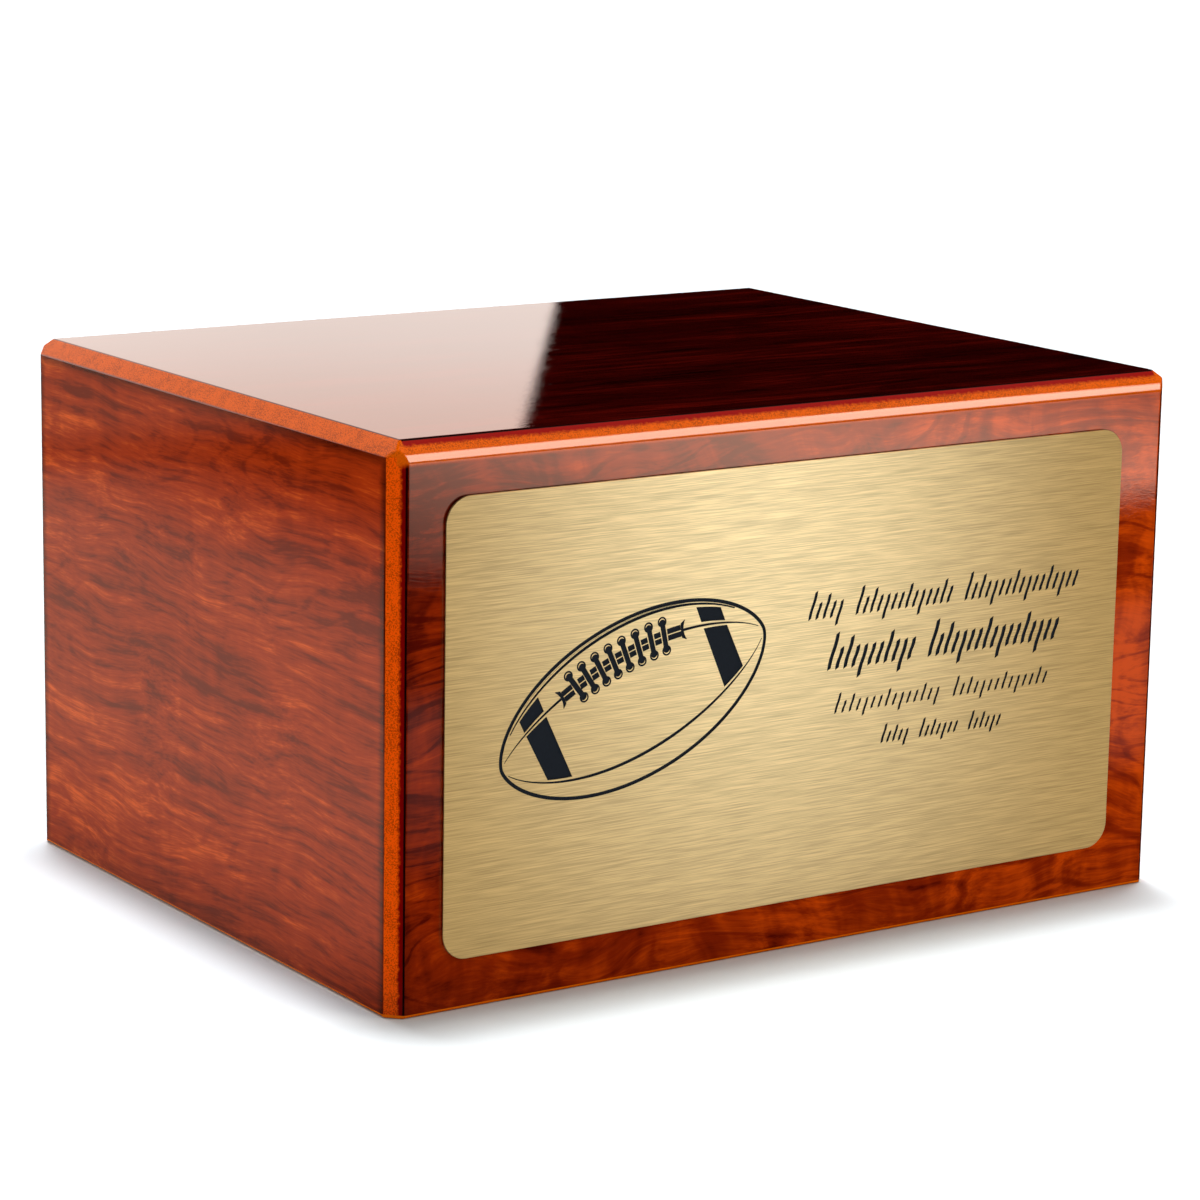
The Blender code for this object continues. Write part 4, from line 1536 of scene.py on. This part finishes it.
def back_card_glow(middle, edge_x):
    """The card that the top mirrors: cooler at its foot, dimmer higher up."""

    def colour(tree, sides):
        low, high = CARD_FOOT_BAND
        lift = ramp(tree, sides["Y"], low - middle, high - middle)
        return blend(tree, lift, rgba(CARD_FOOT_COLOUR), rgba(CARD_COLOUR))

    def strength(tree, sides, ray):
        low, high = CARD_FADE_BAND
        level = ramp(tree, sides["Y"], low - middle, high - middle, *CARD_GLOW)
        away = ramp(tree, sides["X"], edge_x, edge_x - CARD_EDGE_REACH, 1.0, CARD_AWAY_SHARE)
        return calc(tree, "MULTIPLY", level, away)

    return light_material("back_card", colour, strength)


def floor_material(colour):
    """A pale matt floor that mirrors dark in the lacquer, but for a few patches."""
    made, tree, sides = new_stage_material("studio_floor")
    pale = add(tree, "ShaderNodeBsdfDiffuse", {"Color": rgba(colour)}).outputs[0]
    mirrored = (0, 0, 0)
    for low, high, soft, tint in MIRRORED_PATCHES:
        share = 1.0
        for axis, side in enumerate(("X", "Y")):
            for edge, inward in ((low[axis], soft[axis]), (high[axis], -soft[axis])):
                gate = ramp(tree, sides[side], edge, edge + inward)
                share = calc(tree, "MULTIPLY", share, gate)
        mirrored = combined(tree, "ADD", scaled(tree, tint, share), mirrored)
    dark = add(tree, "ShaderNodeEmission", {"Color": mirrored, "Strength": 1.0}).outputs[0]
    ray = add(tree, "ShaderNodeLightPath").outputs["Is Singular Ray"]
    surface(tree, add(tree, "ShaderNodeMixShader", {0: ray, 1: pale, 2: dark}).outputs[0])
    return made


def studio_world(fill):
    """White behind the object, dark in the lacquer, and an even fill for the rest."""
    world = bpy.data.worlds.new("studio")
    world.use_nodes = True
    tree = world.node_tree
    tree.nodes.clear()
    ray = add(tree, "ShaderNodeLightPath").outputs
    seen = calc(tree, "MAXIMUM", calc(tree, "SUBTRACT", fill, ray["Is Singular Ray"]), 0.0)
    level = between(tree, ray["Is Camera Ray"], seen, 1.0)
    light = add(tree, "ShaderNodeBackground", {"Color": (1, 1, 1, 1), "Strength": level})
    out = add(tree, "ShaderNodeOutputWorld")
    tree.links.new(light.outputs[0], out.inputs["Surface"])
    bpy.context.scene.world = world


def place_camera():
    """The camera, at the photograph's angle."""
    yaw, pitch, roll = CAMERA_YAW, CAMERA_PITCH, CAMERA_ROLL
    ahead = Vector(
        (math.sin(yaw) * math.cos(pitch), math.cos(yaw) * math.cos(pitch), -math.sin(pitch))
    )
    level = Vector((math.cos(yaw), -math.sin(yaw), 0))
    down = ahead.cross(level)
    right = math.cos(roll) * level - math.sin(roll) * down
    down = math.sin(roll) * level + math.cos(roll) * down
    data = bpy.data.cameras.new("camera")
    data.sensor_width = SENSOR_MM
    data.lens = FOCAL_PX / PHOTO_WIDTH_PX * SENSOR_MM
    data.clip_start, data.clip_end = 0.05, 50
    camera = put("camera", data)
    turn = Matrix((right, -down, -ahead)).transposed()
    camera.matrix_world = Matrix.Translation(CAMERA_PLACE) @ turn.to_4x4()
    bpy.context.scene.camera = camera


def build_stage(settings):
    """Floor, soft lights, mirrored card and camera."""
    bm = bmesh.new()
    bmesh.ops.create_grid(bm, x_segments=1, y_segments=1, size=FLOOR_REACH)
    floor = mesh_object("floor", bm, [floor_material(settings.floor_colour)])
    floor.location.z = -FLOOR_BELOW
    studio_world(settings.fill)

    for back, right in OVERHEAD_TILTS:
        lamp = bpy.data.lights.new("overhead", "SUN")
        lamp.energy = settings.overhead / len(OVERHEAD_TILTS)
        lamp.angle = OVERHEAD_ANGLE
        sun = put("overhead", lamp)
        sun.rotation_euler = (math.radians(-back), math.radians(right), 0)
        sun.visible_glossy = False

    facing = Vector((-math.sin(CARD_TURN), -math.cos(CARD_TURN), 0))
    across = Vector((-math.cos(CARD_TURN), math.sin(CARD_TURN), 0))
    foot = CAMERA_PLACE * Vector((1, 1, 0)) - facing * CARD_AWAY
    middle = CARD_HEIGHT / 2
    shift = (CARD_EDGE_HEIGHT - middle) * CARD_LEAN
    place = foot + across * (CARD_WIDTH / 2 + shift) + UP * middle
    glow = back_card_glow(middle, CARD_WIDTH / 2)
    card = stage_sheet("back_card", place, facing, CARD_WIDTH, CARD_HEIGHT, glow, CARD_LEAN)
    only_mirrored(card)
    glow = softbox_glow("ceiling", CEILING_SIZE, CEILING_SIZE, 0.0, CEILING_HIGHLIGHT)
    ceiling = stage_sheet("ceiling", CEILING_PLACE, -UP, CEILING_SIZE, CEILING_SIZE, glow)
    only_mirrored(ceiling)
    for name, place, width, height, mirrored in (
        ("front_softbox", Vector((0.80, -1.08, 0.78)), 1.0, 1.2, settings.highlight),
        ("left_softbox", Vector((-1.25, -0.05, 0.95)), 0.6, 0.6, LEFT_HIGHLIGHT),
    ):
        glow = softbox_glow(name, width, height, settings.softbox, mirrored)
        stage_sheet(name, place, (SOFTBOX_AIM - place).normalized(), width, height, glow)
    place_camera()
    view = bpy.context.scene.view_settings
    view.view_transform = "Standard"


# Operators, panel and registration


class URN_OT_case(bpy.types.Operator):
    """Build the five lacquered boards of the case"""

    bl_idname = "urn.case"
    bl_label = "Case"

    def execute(self, context):
        build_case(context.scene.urn_case)
        return {"FINISHED"}


class URN_OT_base(bpy.types.Operator):
    """Finish the bottom board in plain fibreboard"""

    bl_idname = "urn.base"
    bl_label = "Bottom board"

    def execute(self, context):
        finish_base()
        return {"FINISHED"}


class URN_OT_screws(bpy.types.Operator):
    """Build the countersunk screws under the bottom board"""

    bl_idname = "urn.screws"
    bl_label = "Screws"

    def execute(self, context):
        build_screws(context.scene.urn_screws)
        return {"FINISHED"}


class URN_OT_plate(bpy.types.Operator):
    """Build the engraved brass name plate"""

    bl_idname = "urn.plate"
    bl_label = "Name plate"

    def execute(self, context):
        build_plate(context.scene.urn_plate)
        return {"FINISHED"}


class URN_OT_stage(bpy.types.Operator):
    """Build the floor, the lights and the camera"""

    bl_idname = "urn.stage"
    bl_label = "Stage"

    def execute(self, context):
        build_stage(context.scene.urn_stage)
        return {"FINISHED"}


SETTINGS = {
    "urn_case": UrnCaseSettings,
    "urn_screws": UrnScrewSettings,
    "urn_plate": UrnPlateSettings,
    "urn_stage": UrnStageSettings,
}
OPERATORS = (URN_OT_case, URN_OT_base, URN_OT_screws, URN_OT_plate, URN_OT_stage)


class URN_PT_sidebar(bpy.types.Panel):
    """The urn box's pieces and sizes"""

    bl_idname = "URN_PT_sidebar"
    bl_label = "Urn box"
    bl_space_type = "VIEW_3D"
    bl_region_type = "UI"
    bl_category = "Urn box"

    def draw(self, context):
        for operator in OPERATORS:
            self.layout.operator(operator.bl_idname)
        for name, group in SETTINGS.items():
            box = self.layout.box()
            box.label(text=group.__doc__.rstrip("."))
            for prop in group.__annotations__:
                box.prop(getattr(context.scene, name), prop)


def register():
    """Register the add-on's classes and settings."""
    for group in (*SETTINGS.values(), *OPERATORS, URN_PT_sidebar):
        bpy.utils.register_class(group)
    for name, group in SETTINGS.items():
        setattr(bpy.types.Scene, name, PointerProperty(type=group))


def unregister():
    """Take the add-on's settings and classes away again."""
    for name in SETTINGS:
        delattr(bpy.types.Scene, name)
    for group in reversed((*SETTINGS.values(), *OPERATORS, URN_PT_sidebar)):
        bpy.utils.unregister_class(group)


def main():
    """Build the box and its stage."""
    register()
    bpy.ops.urn.case()
    bpy.ops.urn.base()
    bpy.ops.urn.screws()
    bpy.ops.urn.plate()
    bpy.ops.urn.stage()


if __name__ == "__main__":
    main()
